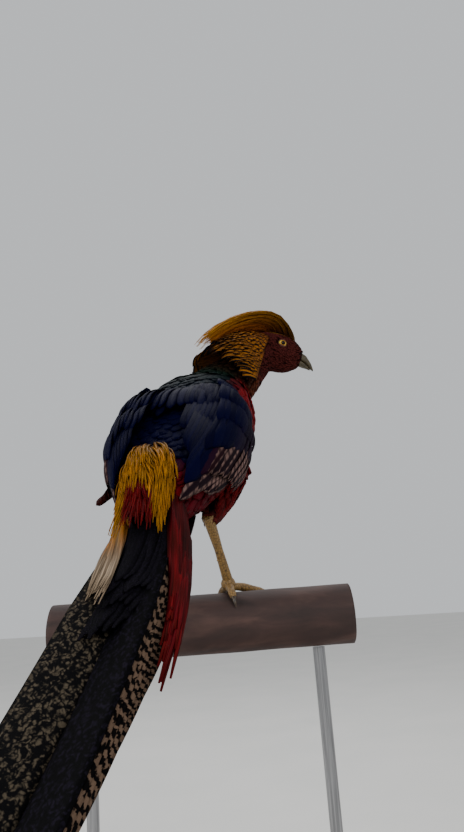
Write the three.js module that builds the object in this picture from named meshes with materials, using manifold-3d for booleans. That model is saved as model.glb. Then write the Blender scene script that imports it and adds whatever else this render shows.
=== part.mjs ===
// A life-size golden pheasant cock on a cut length of pole, held up by a plain display stand.
// Millimetres, +Z up. The bird heads along -Y, its right side is towards -X and its tail runs towards +Y.
// The origin is the centre of the underside of the stand's base, below the middle of the pole.

import * as THREE from 'three';
import Module from 'manifold-3d';

const wasm = await Module();
wasm.setup();

// Stand and pole
const POLE_RADIUS = 24.5;
const POLE_LENGTH = 250;
const POLE_TURN = rad(16);
const POLE_TOP = 364;
const BASE_RADIUS = 165;
const BASE_THICK = 16;
const BASE_EDGE = 3;
const ROD_RADIUS = 5;
const ROD_SPREAD = 95;
const JOIN_GAP = 0.35;
const FINEST_EDGE = 0.01;

// Body: one station after another from the tail to the breast, heights counted from the top of the pole
const BODY_STATIONS = [
  station(-18, 206, -22, 24, 9, 9),
  station(-15, 166, 15, 21, 11, 11),
  station(-12, 127, 52, 21, 17, 15),
  station(-8, 88, 80, 38, 28, 30),
  station(-4, 48, 110, 51, 34, 44),
  station(-2, 8, 139, 55, 39, 48),
  station(-3, -30, 162, 52, 43, 50),
  station(-7, -62, 176, 37, 33, 42),
];
const TORSO_TAIL_END = 1.75;
const TORSO_BREAST_END = 7.0;
const BACK_SQUARENESS = 0.74;
const BELLY_SQUARENESS = 0.9;

// Neck, from inside the shoulders to inside the skull
const NECK_STATIONS = [
  station(-8, -28, 168, 40, 36, 40),
  station(-19, -48, 190, 31, 29, 33),
  station(-36, -67, 211, 23.5, 23, 24),
  station(-54, -79, 230, 18.5, 18, 18),
];

// Head: turned to the bird's right, with the bill a little down
const SKULL_CENTRE = new THREE.Vector3(-63, -84, 235);
const HEAD_TURN = rad(64);
const HEAD_DROP = rad(19);
const SKULL_BACK = -25;
const SKULL_FRONT = 31;
const EYE_AHEAD = 7;
const EYE_ABOVE = 4.5;
const EYE_RADIUS = 4.2;
const EYE_OUT = 11.4;
const LID_RADIUS = 0.9;
const BILL_ROOT = 27;
const BILL_TIP = 46;
const MOUTH_BACK = 21;

// Wings, in stations of the body and degrees above the middle of the flank
const WING_BEND = 6.2;
const WING_ROOT = 3.4;
const WING_LOW = -30;
const WING_HIGH = 62;
const WING_LIFT = 3;

// Feather tiers of a wing. Roots and tips are stations of the body for a tier's lowest and highest feather,
// and so are their angles above the flank.
const PRIMARIES = {
  count: 4, width: 12, tilt: rad(14), lift: 3.2,
  roots: [3.9, 3.7], tips: [2.75, 2.05], rootsAt: [-18, 6], tipsAt: [-8, 22],
};
const SECONDARIES = {
  count: 5, width: 19, tilt: rad(13), lift: 6.4,
  roots: [4.7, 4.9], tips: [3.6, 2.5], rootsAt: [-24, 28], tipsAt: [-27, 28],
};
const TERTIALS = {
  count: 3, width: 15, tilt: rad(17), lift: 6.4,
  roots: [5.1, 5.1], tips: [2.35, 3.0], rootsAt: [39, 61], tipsAt: [39, 63],
};
const GREATER_COVERTS = {
  count: 6, width: 19, tilt: rad(12), lift: 10,
  roots: [4.9, 5.7], tips: [4.25, 3.75], rootsAt: [-20, 34], tipsAt: [-25, 36],
};
const MEDIAN_COVERTS = {
  count: 4, width: 19, tilt: rad(12), lift: 12.5,
  roots: [5.5, 6.1], tips: [4.8, 4.9], rootsAt: [8, 36], tipsAt: [2, 38],
};
const SCAPULARS = {
  count: 3, width: 15, tilt: rad(17), lift: 10,
  roots: [6.0, 5.9], tips: [4.6, 4.7], rootsAt: [45, 69], tipsAt: [46, 70],
};
const WING_TIERS = [PRIMARIES, SECONDARIES, TERTIALS, GREATER_COVERTS, MEDIAN_COVERTS, SCAPULARS];

// Legs: the bird's right one, mirrored for the left
const HIP = new THREE.Vector3(30, 2, 104);
const HOCK = new THREE.Vector3(24, 36, 57);
const ANKLE_OUT = 23;
const ANKLE_HEIGHT = 11;
const THIGH_TOP_RADIUS = 24;
const THIGH_HOCK_RADIUS = 6.5;
const SHANK_RADIUS = 3.6;
const TOE_RADIUS = 3.4;
const FRONT_TOES = [
  { spread: -24, length: 33 },
  { spread: 4, length: 44 },
  { spread: 60, length: 38 },
];
const HIND_TOE = { spread: 168, length: 19 };
const CLAW_LENGTH = 9;
const SPUR_LENGTH = 6;

// Tail
const TAIL_ROOT = new THREE.Vector3(-13, 133, 47);
const TAIL_LENGTH = 640;
const TAIL_SLOPE = [rad(46), rad(29)];
const TAIL_SWAY = 0.07;

const TAIL_LENGTHS = [640, 565, 470, 385, 310, 245, 190, 145];
const TAIL_WIDTHS = [35, 33, 31, 28, 25, 22, 19, 17];
const TAIL_STEP_OUT = 2.8;
const TAIL_STEP_DOWN = 1.7;
const TAIL_ROOF = rad(19);
const TAIL_SEGMENT = 92;

// Feathers: how thick the vanes and the silky locks are, and how far one row stands over the next
const VANE_THICK = 0.8;
const LOCK_THICK = 1;
const ROW_STEP = 3.7;
const CLEAR_SLIP = 4;

// Crest: heights of its line over the skull's centre, from the forehead back, and its layers of locks
const CREST_FRONT = 29;
const CREST_TOP = 38;
const CREST_END = -78;
const CREST_DROP = -20;
const CREST_LOCK_WIDTH = 10;
const CREST_LAYERS = [
  { locks: 3, from: 0.36, to: 0.76, sink: 15 },
  { locks: 3, from: 0.34, to: 0.82, sink: 11 },
  { locks: 3, from: 0.16, to: 0.9, sink: 7 },
  { locks: 3, from: 0.09, to: 0.95, sink: 3.5 },
  { locks: 5, from: 0.03, to: 1, sink: 0 },
];

// Cape: three rows of square-ended feathers round the neck, from the lowest up
const CAPE_ROWS = [
  { at: 1.8, count: 8, length: 44, width: 17, lift: rad(16) },
  { at: 2.3, count: 7, length: 48, width: 17, lift: rad(24) },
  { at: 2.8, count: 6, length: 50, width: 16, lift: rad(32) },
];
const CAPE_ARC = 90;

// Rump: three rows of silky locks, by stations of the body, from the rear one forward
const RUMP_ROWS = [
  { from: 2.4, to: 1.35, locks: 5, width: 13 },
  { from: 2.8, to: 1.85, locks: 7, width: 11 },
  { from: 3.2, to: 2.35, locks: 5, width: 17 },
];
const RUMP_ARC = 40;

// Long scarlet feathers that lie over the sides of the tail, further out on the right
const COVERT_LENGTHS = [120, 175, 140, 95];
const COVERT_WIDTH = 12;

function rad(degrees) {
  return degrees * Math.PI / 180;
}

function station(x, y, z, half, rise, drop) {
  return { at: new THREE.Vector3(x, y, z), size: new THREE.Vector3(half, rise, drop) };
}

function mix(a, b, t) {
  return a + (b - a) * t;
}

function clamp01(value) {
  return Math.min(1, Math.max(0, value));
}

function bump(t) {
  return Math.sin(Math.PI * clamp01(t));
}

// A smooth line through stations, with a size that changes along it

function stationLine(stations) {
  const places = new THREE.CatmullRomCurve3(stations.map((one) => one.at), false, 'centripetal');
  const sizes = new THREE.CatmullRomCurve3(stations.map((one) => one.size), false, 'centripetal');
  const last = stations.length - 1;
  return {
    at: (s) => places.getPoint(clamp01(s / last)),
    heading: (s) => places.getTangent(clamp01(s / last)).normalize(),
    size: (s) => sizes.getPoint(clamp01(s / last)),
    span: places.getLength() / last,
  };
}

// Right-handed axes at a point of a line: side, up and ahead, with up as near as it can be to a guide

function axesAlong(ahead, guide) {
  const side = guide.clone().cross(ahead).normalize();
  const up = ahead.clone().cross(side).normalize();
  return { side, up, ahead };
}

// Across and up on a squared ellipse: a flatter back over a rounder belly

function squared(turn) {
  const power = Math.sin(turn) > 0 ? BACK_SQUARENESS : BELLY_SQUARENESS;
  const bend = (value) => Math.sign(value) * Math.abs(value) ** power;
  return { across: bend(Math.cos(turn)), upright: bend(Math.sin(turn)) };
}

// Closed skin over a row of loops that run counterclockwise seen from the far end.
// With alike faces, the far half of each loop is split the same way as the near half above it.

function skinOver(loops, tip, alike = false) {
  const count = loops[0].length;
  const points = loops.flat();
  const faces = [];
  for (let k = 1; k < count - 1; k += 1) {
    faces.push(0, k + 1, k);
  }
  for (let row = 0; row < loops.length - 1; row += 1) {
    for (let k = 0; k < count; k += 1) {
      const a = row * count + k;
      const b = row * count + (k + 1) % count;
      const c = b + count;
      const d = a + count;
      if (alike && k >= count / 2) {
        faces.push(a, b, d, b, c, d);
      } else {
        faces.push(a, b, c, a, c, d);
      }
    }
  }
  const top = (loops.length - 1) * count;
  if (tip) {
    points.push(tip);
    for (let k = 0; k < count; k += 1) {
      faces.push(top + k, top + (k + 1) % count, points.length - 1);
    }
  } else {
    for (let k = 1; k < count - 1; k += 1) {
      faces.push(top, top + k, top + k + 1);
    }
  }
  const skin = new THREE.BufferGeometry();
  skin.setFromPoints(points);
  skin.setIndex(faces);
  return skin;
}

// Smooth body along a line from one station to another, rounded off at both ends and grown outwards

function roundedForm(line, guide, from, to, sides, rows, round, grow, square = false) {
  const loops = [];
  for (let row = 0; row <= rows; row += 1) {
    const even = (1 - Math.cos(Math.PI * (0.06 + 0.88 * row / rows))) / 2;
    const s = mix(from, to, even);
    const more = grow / line.span;
    const closing = roundOff((s - from + more) / round[0]) * roundOff((to - s + more) / round[1]);
    const axes = axesAlong(line.heading(s), guide);
    const size = line.size(s);
    const loop = [];
    for (let k = 0; k < sides; k += 1) {
      const turn = 2 * Math.PI * k / sides;
      const plain = { across: Math.cos(turn), upright: Math.sin(turn) };
      const { across, upright } = square ? squared(turn) : plain;
      const tall = upright > 0 ? size.y : size.z;
      loop.push(line.at(s)
        .addScaledVector(axes.ahead, outwardAt(row, rows) * grow)
        .addScaledVector(axes.side, across * (size.x * closing + grow))
        .addScaledVector(axes.up, upright * (tall * closing + grow)));
    }
    loops.push(loop);
  }
  return skinOver(loops);
}

// Growing moves the first loop back and the last one on

function outwardAt(row, rows) {
  return (row === rows ? 1 : 0) - (row === 0 ? 1 : 0);
}

function roundOff(t) {
  return Math.sqrt(1 - (1 - clamp01(t)) ** 2);
}

// Solids for joining and cutting

function solidOf(geometry) {
  const flat = geometry.index ? geometry : welded(geometry);
  return new wasm.Manifold(new wasm.Mesh({
    numProp: 3,
    vertProperties: new Float32Array(flat.attributes.position.array),
    triVerts: new Uint32Array(flat.index.array),
  }));
}

function biggest(solid) {
  const pieces = solid.decompose();
  return pieces.reduce((best, one) => (one.volume() > best.volume() ? one : best));
}

function joined(solids) {
  return solids.reduce((all, one) => all.add(one));
}

function cutBy(solid, cutters) {
  return cutters.reduce((left, one) => left.subtract(one), solid);
}

function geometryOf(solid) {
  const mesh = solid.getMesh();
  const places = [];
  for (let k = 0; k < mesh.vertProperties.length; k += mesh.numProp) {
    places.push(mesh.vertProperties[k], mesh.vertProperties[k + 1], mesh.vertProperties[k + 2]);
  }
  const geometry = new THREE.BufferGeometry();
  geometry.setAttribute('position', new THREE.Float32BufferAttribute(places, 3));
  geometry.setIndex([...mesh.triVerts]);
  geometry.computeVertexNormals();
  return geometry;
}

function finish(colour, roughness, metalness = 0) {
  return new THREE.MeshStandardMaterial({ color: colour, roughness, metalness });
}

// Body, and places on it: a station, an angle above the flank's middle, a height off the skin and a side

const UP = new THREE.Vector3(0, 0, 1);
const bodyLine = stationLine(BODY_STATIONS);

function onBody(s, above, lift, side) {
  const axes = axesAlong(bodyLine.heading(s), UP);
  const size = bodyLine.size(s);
  const { across, upright } = squared(rad(above));
  const tall = upright > 0 ? size.y : size.z;
  return bodyLine.at(s)
    .addScaledVector(axes.side, side * across * (size.x + lift))
    .addScaledVector(axes.up, upright * (tall + lift));
}

function torso(grow) {
  const round = [0.5, 1.0];
  return solidOf(roundedForm(bodyLine, UP, TORSO_TAIL_END, TORSO_BREAST_END, 20, 13, round, grow, true));
}

// Neck and head

const BACKWARDS = new THREE.Vector3(0.35, 1, 0.4);
const neckLine = stationLine(NECK_STATIONS);
const neckEnd = NECK_STATIONS.length - 1;

function neck(grow) {
  return solidOf(roundedForm(neckLine, BACKWARDS, 0, neckEnd, 16, 8, [0.3, 0.3], grow));
}

const headAxes = headFrame();

function headFrame() {
  const level = new THREE.Vector3(-Math.sin(HEAD_TURN), -Math.cos(HEAD_TURN), 0);
  const ahead = level.clone().multiplyScalar(Math.cos(HEAD_DROP)).addScaledVector(UP, -Math.sin(HEAD_DROP));
  return axesAlong(ahead, UP);
}

function inHead(ahead, left, up) {
  return SKULL_CENTRE.clone()
    .addScaledVector(headAxes.ahead, ahead)
    .addScaledVector(headAxes.side, left)
    .addScaledVector(headAxes.up, up);
}

// Half width, crown height and throat depth along the skull, from the nape to the root of the bill

const SKULL_SIZES = new THREE.CatmullRomCurve3([
  new THREE.Vector3(11, 10, 12),
  new THREE.Vector3(15, 16, 20),
  new THREE.Vector3(15, 18, 23),
  new THREE.Vector3(13, 17, 21),
  new THREE.Vector3(7.5, 8.5, 11),
]);

function skullLoop(t, sides, grow) {
  const size = SKULL_SIZES.getPoint(clamp01(t));
  const loop = [];
  for (let k = 0; k < sides; k += 1) {
    const turn = 2 * Math.PI * k / sides;
    const tall = Math.sin(turn) > 0 ? size.y : size.z;
    const ahead = mix(SKULL_BACK - grow, SKULL_FRONT + grow, t);
    loop.push(inHead(ahead, Math.cos(turn) * (size.x + grow), Math.sin(turn) * (tall + grow)));
  }
  return loop;
}

function skull(grow) {
  const loops = [];
  for (let row = 0; row <= 8; row += 1) {
    loops.push(skullLoop(row / 8, 16, grow));
  }
  return solidOf(skinOver(loops));
}

// An egg with its half lengths along three axes, which are the head's for its own pieces

const LEVEL_AXES = { ahead: UP, side: new THREE.Vector3(1, 0, 0), up: new THREE.Vector3(0, 1, 0) };

function blob(centre, [half, tall, deep], sides = 12, rows = 8, axes = LEVEL_AXES) {
  const loops = [];
  for (let row = 1; row < rows; row += 1) {
    const lean = Math.PI * row / rows;
    const loop = [];
    for (let k = 0; k < sides; k += 1) {
      const turn = 2 * Math.PI * k / sides;
      loop.push(centre.clone()
        .addScaledVector(axes.side, half * Math.sin(lean) * Math.cos(turn))
        .addScaledVector(axes.up, tall * Math.sin(lean) * Math.sin(turn))
        .addScaledVector(axes.ahead, -deep * Math.cos(lean)));
    }
    loops.push(loop);
  }
  return solidOf(skinOver(loops));
}

function ball(centre, radius) {
  return blob(centre, [radius, radius, radius], 12, 7);
}

// A tube along a list of points with a radius at each, rounded by its last point

function limb(points, radii, sides, guide, grow = 0) {
  const line = new THREE.CatmullRomCurve3(points);
  const loops = [];
  const rows = (points.length - 1) * 2;
  for (let row = 0; row <= rows; row += 1) {
    const t = row / rows;
    const axes = axesAlong(line.getTangent(t).normalize(), guide);
    const spot = t * (radii.length - 1);
    const low = Math.min(Math.floor(spot), radii.length - 2);
    const radius = mix(radii[low], radii[low + 1], spot - low) + grow;
    const loop = [];
    for (let k = 0; k < sides; k += 1) {
      const turn = 2 * Math.PI * k / sides;
      loop.push(line.getPoint(t)
        .addScaledVector(axes.ahead, outwardAt(row, rows) * grow)
        .addScaledVector(axes.side, Math.cos(turn) * radius)
        .addScaledVector(axes.up, Math.sin(turn) * radius));
    }
    loops.push(loop);
  }
  return solidOf(skinOver(loops));
}

// One direction turned towards another

function turned(from, towards, angle) {
  return from.clone().multiplyScalar(Math.cos(angle)).addScaledVector(towards, Math.sin(angle));
}

// A flat feather or lock along a path, wider or narrower as it runs and turned about its own line

function vane({ path, facing, width, thick, steps, tilt = 0, square = false, grow = 0 }) {
  const loops = [];
  const end = path(1).addScaledVector(path(1).sub(path(0.95)).normalize(), grow * 2);
  for (let row = 0; row < steps; row += 1) {
    const t = row / (square ? steps - 1 : steps);
    const ahead = path(Math.min(1, t + 0.02)).sub(path(Math.max(0, t - 0.02))).normalize();
    const middle = square && row === steps - 1 ? end : path(t).addScaledVector(ahead, row === 0 ? -grow : 0);
    const level = axesAlong(ahead, facing(t));
    const side = turned(level.side, level.up, -tilt);
    const up = turned(level.up, level.side, tilt);
    const half = width(t) / 2 + grow;
    const deep = thick / 2 * mix(1, 0.65, t) + grow;
    const corner = (x, z) => middle.clone().addScaledVector(side, x * half).addScaledVector(up, z * deep);
    loops.push([corner(1, 1), corner(-1, 1), corner(-1, -1), corner(1, -1)]);
  }
  return solidOf(skinOver(loops, square ? undefined : end, true));
}

// Width shapes: a firm feather with a rounded end, and a lock that narrows to its tip

function firm(wide) {
  const rounded = (t) => Math.sqrt(1 - clamp01((t - 0.7) / 0.36) ** 2);
  return (t) => wide * mix(0.6, 1, clamp01(t / 0.25)) * mix(1, 0.6, t) * rounded(t);
}

function silky(wide) {
  return (t) => wide * mix(0.7, 1, bump(t * 0.9)) * (1 - 0.75 * clamp01((t - 0.35) / 0.65));
}

// A point that lies inside the body, or too close over it, is moved straight out to a clear height.
// One beyond the body's ends is left where it is.

function clearOfBody(point, height) {
  let nearest = TORSO_TAIL_END;
  let least = Infinity;
  for (let s = TORSO_TAIL_END; s <= TORSO_BREAST_END; s += 0.05) {
    const off = point.clone().sub(bodyLine.at(s));
    const slip = Math.abs(off.dot(bodyLine.heading(s)));
    if (slip < least && off.length() < 120) {
      least = slip;
      nearest = s;
    }
  }
  if (least > CLEAR_SLIP) {
    return point;
  }
  const axes = axesAlong(bodyLine.heading(nearest), UP);
  const off = point.clone().sub(bodyLine.at(nearest));
  const across = off.dot(axes.side);
  const upright = off.dot(axes.up);
  const size = bodyLine.size(nearest);
  const tall = upright > 0 ? size.y : size.z;
  const power = 2 / (upright > 0 ? BACK_SQUARENESS : BELLY_SQUARENESS);
  const sideways = Math.abs(across / (size.x + height)) ** power;
  const within = sideways + Math.abs(upright / (tall + height)) ** power;
  if (within >= 1) {
    return point;
  }
  const push = within ** (-1 / power) - 1;
  return point.clone().addScaledVector(axes.side, across * push).addScaledVector(axes.up, upright * push);
}

// Plain shell over a patch of the body, from the skin out to a lift

function bodyShell(from, to, low, high, lift, side, grow = 0, rows = 10, across = 8) {
  const loops = [];
  for (let row = 0; row <= rows; row += 1) {
    const t = row / rows;
    const s = mix(from + grow * 0.03, to - grow * 0.03, t);
    const narrow = 0.25 + 0.75 * Math.sqrt(bump(0.08 + 0.84 * t));
    const middle = (low + high) / 2;
    const outer = [];
    const inner = [];
    for (let k = 0; k <= across; k += 1) {
      const above = middle + ((high - low) / 2 * narrow + grow) * (2 * k / across - 1);
      const thick = 1.4 + (lift - 1.4) * bump(0.1 + 0.8 * k / across) * bump(0.1 + 0.8 * t);
      outer.push(onBody(s, above, thick + grow, side));
      inner.push(onBody(s, above, -3, side));
    }
    const loop = [...outer, ...inner.reverse()];
    loops.push(side > 0 ? loop.reverse() : loop);
  }
  return solidOf(skinOver(loops));
}

// Tail line: it leaves the body steeply and flattens towards its tip. Across it, plus is the bird's left.

function tailSlope(run) {
  return mix(TAIL_SLOPE[0], TAIL_SLOPE[1], clamp01(run / TAIL_LENGTH));
}

function tailPoint(run) {
  const steps = 24;
  const place = TAIL_ROOT.clone();
  for (let k = 0; k < steps; k += 1) {
    const slope = tailSlope(run * (k + 0.5) / steps);
    place.y += Math.cos(slope) * run / steps;
    place.z -= Math.sin(slope) * run / steps;
  }
  place.x += TAIL_SWAY * run;
  return place;
}

function tailAxes(run) {
  const slope = tailSlope(run);
  return axesAlong(new THREE.Vector3(0, Math.cos(slope), -Math.sin(slope)), UP);
}

function inTail(run, across, above) {
  const axes = tailAxes(run);
  return tailPoint(run).addScaledVector(axes.side, -across).addScaledVector(axes.up, above);
}

// The feathers of each side lie like roof tiles, one below and outside the other, and all slope alike

function tailFeather(side, k) {
  const length = TAIL_LENGTHS[k];
  const spread = (t) => mix(0.35, 1, clamp01(t * length / 90));
  const wide = (t) => TAIL_WIDTHS[k] * spread(t) * mix(1, 0.28, clamp01((t - 0.45) / 0.55) ** 1.6);
  const path = (t) => {
    const middle = 0.6 + wide(t) / 2 * Math.cos(TAIL_ROOF) + TAIL_STEP_OUT * k * spread(t);
    return inTail(4 + t * (length - 4), side * middle, -Math.tan(TAIL_ROOF) * middle - TAIL_STEP_DOWN * k);
  };
  const facing = (t) => tailAxes(4 + t * length).up;
  const steps = 2 + Math.round(length / TAIL_SEGMENT);
  return vane({ path, facing, width: wide, thick: 1, steps, tilt: -side * TAIL_ROOF });
}

function tailRoot(grow) {
  const loops = [];
  const reach = 30;
  for (let row = 0; row <= 3; row += 1) {
    const run = reach * row / 3;
    const half = mix(17, 13, row / 3) + grow;
    const top = 1 + grow;
    const low = mix(24, 15, row / 3) + grow;
    loops.push([
      inTail(run, -half, -7),
      inTail(run, -half * 0.5, top),
      inTail(run, half * 0.5, top),
      inTail(run, half, -7),
      inTail(run, half * 0.5, -low),
      inTail(run, -half * 0.5, -low),
    ]);
  }
  return solidOf(skinOver(loops));
}

function tail() {
  const feathers = [];
  for (const side of [1, -1]) {
    TAIL_LENGTHS.forEach((length, k) => feathers.push(tailFeather(side, k)));
  }
  return joined([tailRoot(0), ...feathers]);
}

// Everything that lies over the tail is kept clear of this block, which holds the tail's feathers

function tailBlock() {
  const slant = Math.tan(TAIL_ROOF);
  const halves = [19, 26.5, 38.5, 38.5];
  const loops = [-4, 45, 90, 300].map((run, k) => [
    inTail(run, -halves[k], -slant * halves[k] + 1.2),
    inTail(run, 0, 1.6),
    inTail(run, halves[k], -slant * halves[k] + 1.2),
    inTail(run, halves[k], -36),
    inTail(run, -halves[k], -36),
  ]);
  return solidOf(skinOver(loops));
}

// Scarlet feathers start on the side of the rump and lie over the edge of the tail

function covert(side, k, grow) {
  const share = k / (COVERT_LENGTHS.length - 1);
  const right = side < 0;
  const out = right ? mix(31, 43, share) : mix(18, 32, share);
  const near = right ? mix(29, 36, share) : mix(20, 29, share);
  const over = mix(4.5, 2.4, share);
  const slant = Math.tan(TAIL_ROOF);
  const line = new THREE.CatmullRomCurve3([
    onBody(2.5, mix(-22, -52, share), 0.8, side),
    onBody(2.0, mix(-21, -42, share), 4.5, side),
    inTail(36, side * near, -slant * near + over),
    inTail(COVERT_LENGTHS[k] * (right ? 1 : 0.7), side * out, -slant * out + over),
  ], false, 'centripetal');
  const outwards = new THREE.Vector3(side * 0.4, 0, 1);
  return vane({
    path: (t) => line.getPoint(t),
    facing: () => outwards,
    width: silky(COVERT_WIDTH),
    thick: VANE_THICK,
    steps: 6,
    grow,
  });
}

function coverts(side, grow) {
  const core = bodyShell(2.8, 2.15, -60, -16, 3, side, grow, 3, 3);
  return joined([core, ...COVERT_LENGTHS.map((length, k) => covert(side, k, grow))]);
}

// Rump: silky locks over a thin core, each row over the one behind it and each lock over the next one out

function rump(grow) {
  const solids = [bodyShell(3.4, 2.05, 88 - RUMP_ARC, 92 + RUMP_ARC, 3, 1, grow, 5, 6)];
  RUMP_ROWS.forEach((row, level) => {
    for (let k = 0; k < row.locks; k += 1) {
      const out = 2 * k / (row.locks - 1) - 1;
      const above = 90 + RUMP_ARC * Math.sign(out) * Math.abs(out) ** 1.4;
      const tip = row.to + 0.25 * Math.abs(out);
      const lift = 2.6 + ROW_STEP * level + (out === 0 ? 1.2 : 0);
      const height = (t) => mix(0.8, lift, Math.min(1, t * 2));
      const spot = (t, more) => onBody(mix(row.from, tip, t), above, height(t) + more, 1);
      solids.push(vane({
        path: (t) => spot(t, 0),
        facing: (t) => spot(t, 1).sub(spot(t, 0)),
        width: silky(row.width),
        thick: LOCK_THICK,
        steps: 3,
        tilt: rad(-12) * Math.sign(out),
        grow,
      }));
    }
  });
  return joined(solids);
}

// Wings: a shell over the flank, with tiers of feathers that each start under the tier above

function wing(side, grow) {
  const solids = [bodyShell(WING_BEND, WING_ROOT, WING_LOW, WING_HIGH, WING_LIFT, side, grow, 7, 6)];
  for (const tier of WING_TIERS) {
    for (let k = 0; k < tier.count; k += 1) {
      const share = k / (tier.count - 1);
      const from = mix(...tier.roots, share);
      const to = mix(...tier.tips, share);
      const rootAt = mix(...tier.rootsAt, share);
      const tipAt = mix(...tier.tipsAt, share);
      const height = (t) => mix(1, tier.lift, Math.min(1, t * 2));
      const spot = (t, more) => onBody(mix(from, to, t), mix(rootAt, tipAt, t), height(t) + more, side);
      solids.push(vane({
        path: (t) => spot(t, 0),
        facing: (t) => spot(t, 1).sub(spot(t, 0)),
        width: firm(tier.width),
        thick: VANE_THICK,
        steps: 5,
        tilt: side * tier.tilt,
        grow,
      }));
    }
  }
  return joined(solids);
}

// Crest: a low core on the crown under layers of long silky locks

const crestLine = new THREE.CatmullRomCurve3([
  new THREE.Vector3(CREST_FRONT, 0, 9),
  new THREE.Vector3(13, 0, CREST_TOP - 8),
  new THREE.Vector3(-12, 0, CREST_TOP),
  new THREE.Vector3(-41, 0, CREST_TOP - 12),
  new THREE.Vector3(-66, 0, -1),
  new THREE.Vector3(CREST_END, 0, CREST_DROP),
]);

function crestPoint(t, across, sink) {
  const spot = crestLine.getPoint(clamp01(t));
  const along = crestLine.getTangent(clamp01(t));
  const spread = across * mix(0.8, 1.15, clamp01(t * 1.6));
  const inwards = sink + 0.34 * Math.abs(spread);
  return inHead(spot.x - along.z * inwards, spread, spot.z + along.x * inwards);
}

function crestCore(grow) {
  const loops = [];
  const rows = 4;
  for (let row = 0; row <= rows; row += 1) {
    const t = mix(0.05, 0.45, row / rows);
    const half = mix(6, 11, bump(0.15 + 0.7 * row / rows)) + grow;
    const loop = [1, 0.5, 0, -0.5, -1].map((share) => crestPoint(t, half * share, 8.5 - grow));
    const spot = crestLine.getPoint(t);
    loop.push(inHead(spot.x, -half * 0.8, 5), inHead(spot.x, half * 0.8, 5));
    loops.push(loop.reverse());
  }
  return solidOf(skinOver(loops));
}

function crest(grow) {
  const solids = [crestCore(grow)];
  for (const layer of CREST_LAYERS) {
    for (let k = 0; k < layer.locks; k += 1) {
      const place = k - (layer.locks - 1) / 2;
      const reach = layer.to - 0.03 * Math.abs(place);
      const sunk = (t) => layer.sink + 7 * (1 - Math.min(1, t * 3.3)) ** 2;
      solids.push(vane({
        path: (t) => crestPoint(mix(layer.from, reach, t), 5 * place, sunk(t)),
        facing: () => headAxes.up,
        width: silky(CREST_LOCK_WIDTH),
        thick: LOCK_THICK,
        steps: 5,
        grow,
      }));
    }
  }
  return joined(solids);
}

// Cape: rows of square-ended feathers round the back of the neck, each row lying over the one below it

function capeAxes(s) {
  const back = new THREE.Vector3(0.1, 1, 0.4).lerp(new THREE.Vector3(0.85, 0.5, 0.4), s / neckEnd);
  return axesAlong(neckLine.heading(s), back);
}

function aroundNeck(s, turn, lift) {
  const axes = capeAxes(s);
  const size = neckLine.size(s);
  return neckLine.at(s)
    .addScaledVector(axes.side, Math.cos(turn) * (size.x + lift))
    .addScaledVector(axes.up, Math.sin(turn) * (size.y + lift));
}

function capeCore(grow) {
  const loops = [];
  const rows = 4;
  const turns = 10;
  for (let row = 0; row <= rows; row += 1) {
    const s = mix(1.6 - grow * 0.03, neckEnd - 0.12 + grow * 0.03, row / rows);
    const outer = [];
    const inner = [];
    for (let k = 0; k <= turns; k += 1) {
      const turn = rad(90 + (CAPE_ARC + 12 + grow) * (2 * k / turns - 1));
      outer.push(aroundNeck(s, turn, 1.2 + 1.6 * bump(0.08 + 0.84 * k / turns) + grow));
      inner.push(aroundNeck(s, turn, -3));
    }
    loops.push([...outer, ...inner.reverse()]);
  }
  return solidOf(skinOver(loops));
}

function capeFeather(row, level, k, grow) {
  const turn = rad(90 + CAPE_ARC * (2 * k / (row.count - 1) - 1));
  const root = aroundNeck(row.at, turn, 0.8);
  const out = aroundNeck(row.at, turn, 1).sub(aroundNeck(row.at, turn, 0)).normalize();
  const down = capeAxes(row.at).ahead.clone().negate();
  const way = down.multiplyScalar(Math.cos(row.lift)).addScaledVector(out, Math.sin(row.lift));
  const clear = 3 + ROW_STEP * level;
  return vane({
    path: (t) => clearOfBody(root.clone().addScaledVector(way, t * row.length), clear),
    facing: () => out,
    width: (t) => row.width * mix(0.6, 1, Math.min(1, t * 2)),
    thick: VANE_THICK,
    steps: 4,
    tilt: rad(8),
    square: true,
    grow,
  });
}

function cape(grow) {
  const solids = [capeCore(grow)];
  CAPE_ROWS.forEach((row, level) => {
    for (let k = 0; k < row.count; k += 1) {
      solids.push(capeFeather(row, level, k, grow));
    }
  });
  return joined(solids);
}

// Legs and feet

function sided(point, side) {
  return new THREE.Vector3(-side * point.x, point.y, point.z);
}

// Each foot stands on the pole's own line, so the left leg reaches further back

function ankleAt(side) {
  return new THREE.Vector3(-side * ANKLE_OUT, -side * ANKLE_OUT * Math.tan(POLE_TURN), ANKLE_HEIGHT);
}

function hockAt(side) {
  return sided(HOCK, side).add(new THREE.Vector3(0, side > 0 ? 0 : 9, 0));
}

function thigh(side, grow) {
  const hip = sided(HIP, side);
  const hock = hockAt(side);
  const knee = hip.clone().lerp(hock, 0.45).add(new THREE.Vector3(0, -7, 0));
  const radii = [THIGH_TOP_RADIUS, 16, THIGH_HOCK_RADIUS];
  return limb([hip, knee, hock], radii, 12, new THREE.Vector3(0, 1, 0.3), grow);
}

function shank(side, grow) {
  const hock = hockAt(side);
  const ankle = ankleAt(side);
  const down = ankle.clone().sub(hock).normalize();
  const top = hock.clone().addScaledVector(down, -5);
  const middle = hock.clone().lerp(ankle, 0.5);
  return limb([top, middle, ankle], [4.6, SHANK_RADIUS, 4.4], 8, new THREE.Vector3(0, 1, 0.3), grow);
}

function pole(grow) {
  const radius = POLE_RADIUS + grow;
  const round = new THREE.CylinderGeometry(radius, radius, POLE_LENGTH + grow, 32, 1);
  round.rotateZ(Math.PI / 2);
  round.rotateZ(POLE_TURN);
  round.translate(0, 0, -POLE_RADIUS);
  return round;
}

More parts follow.
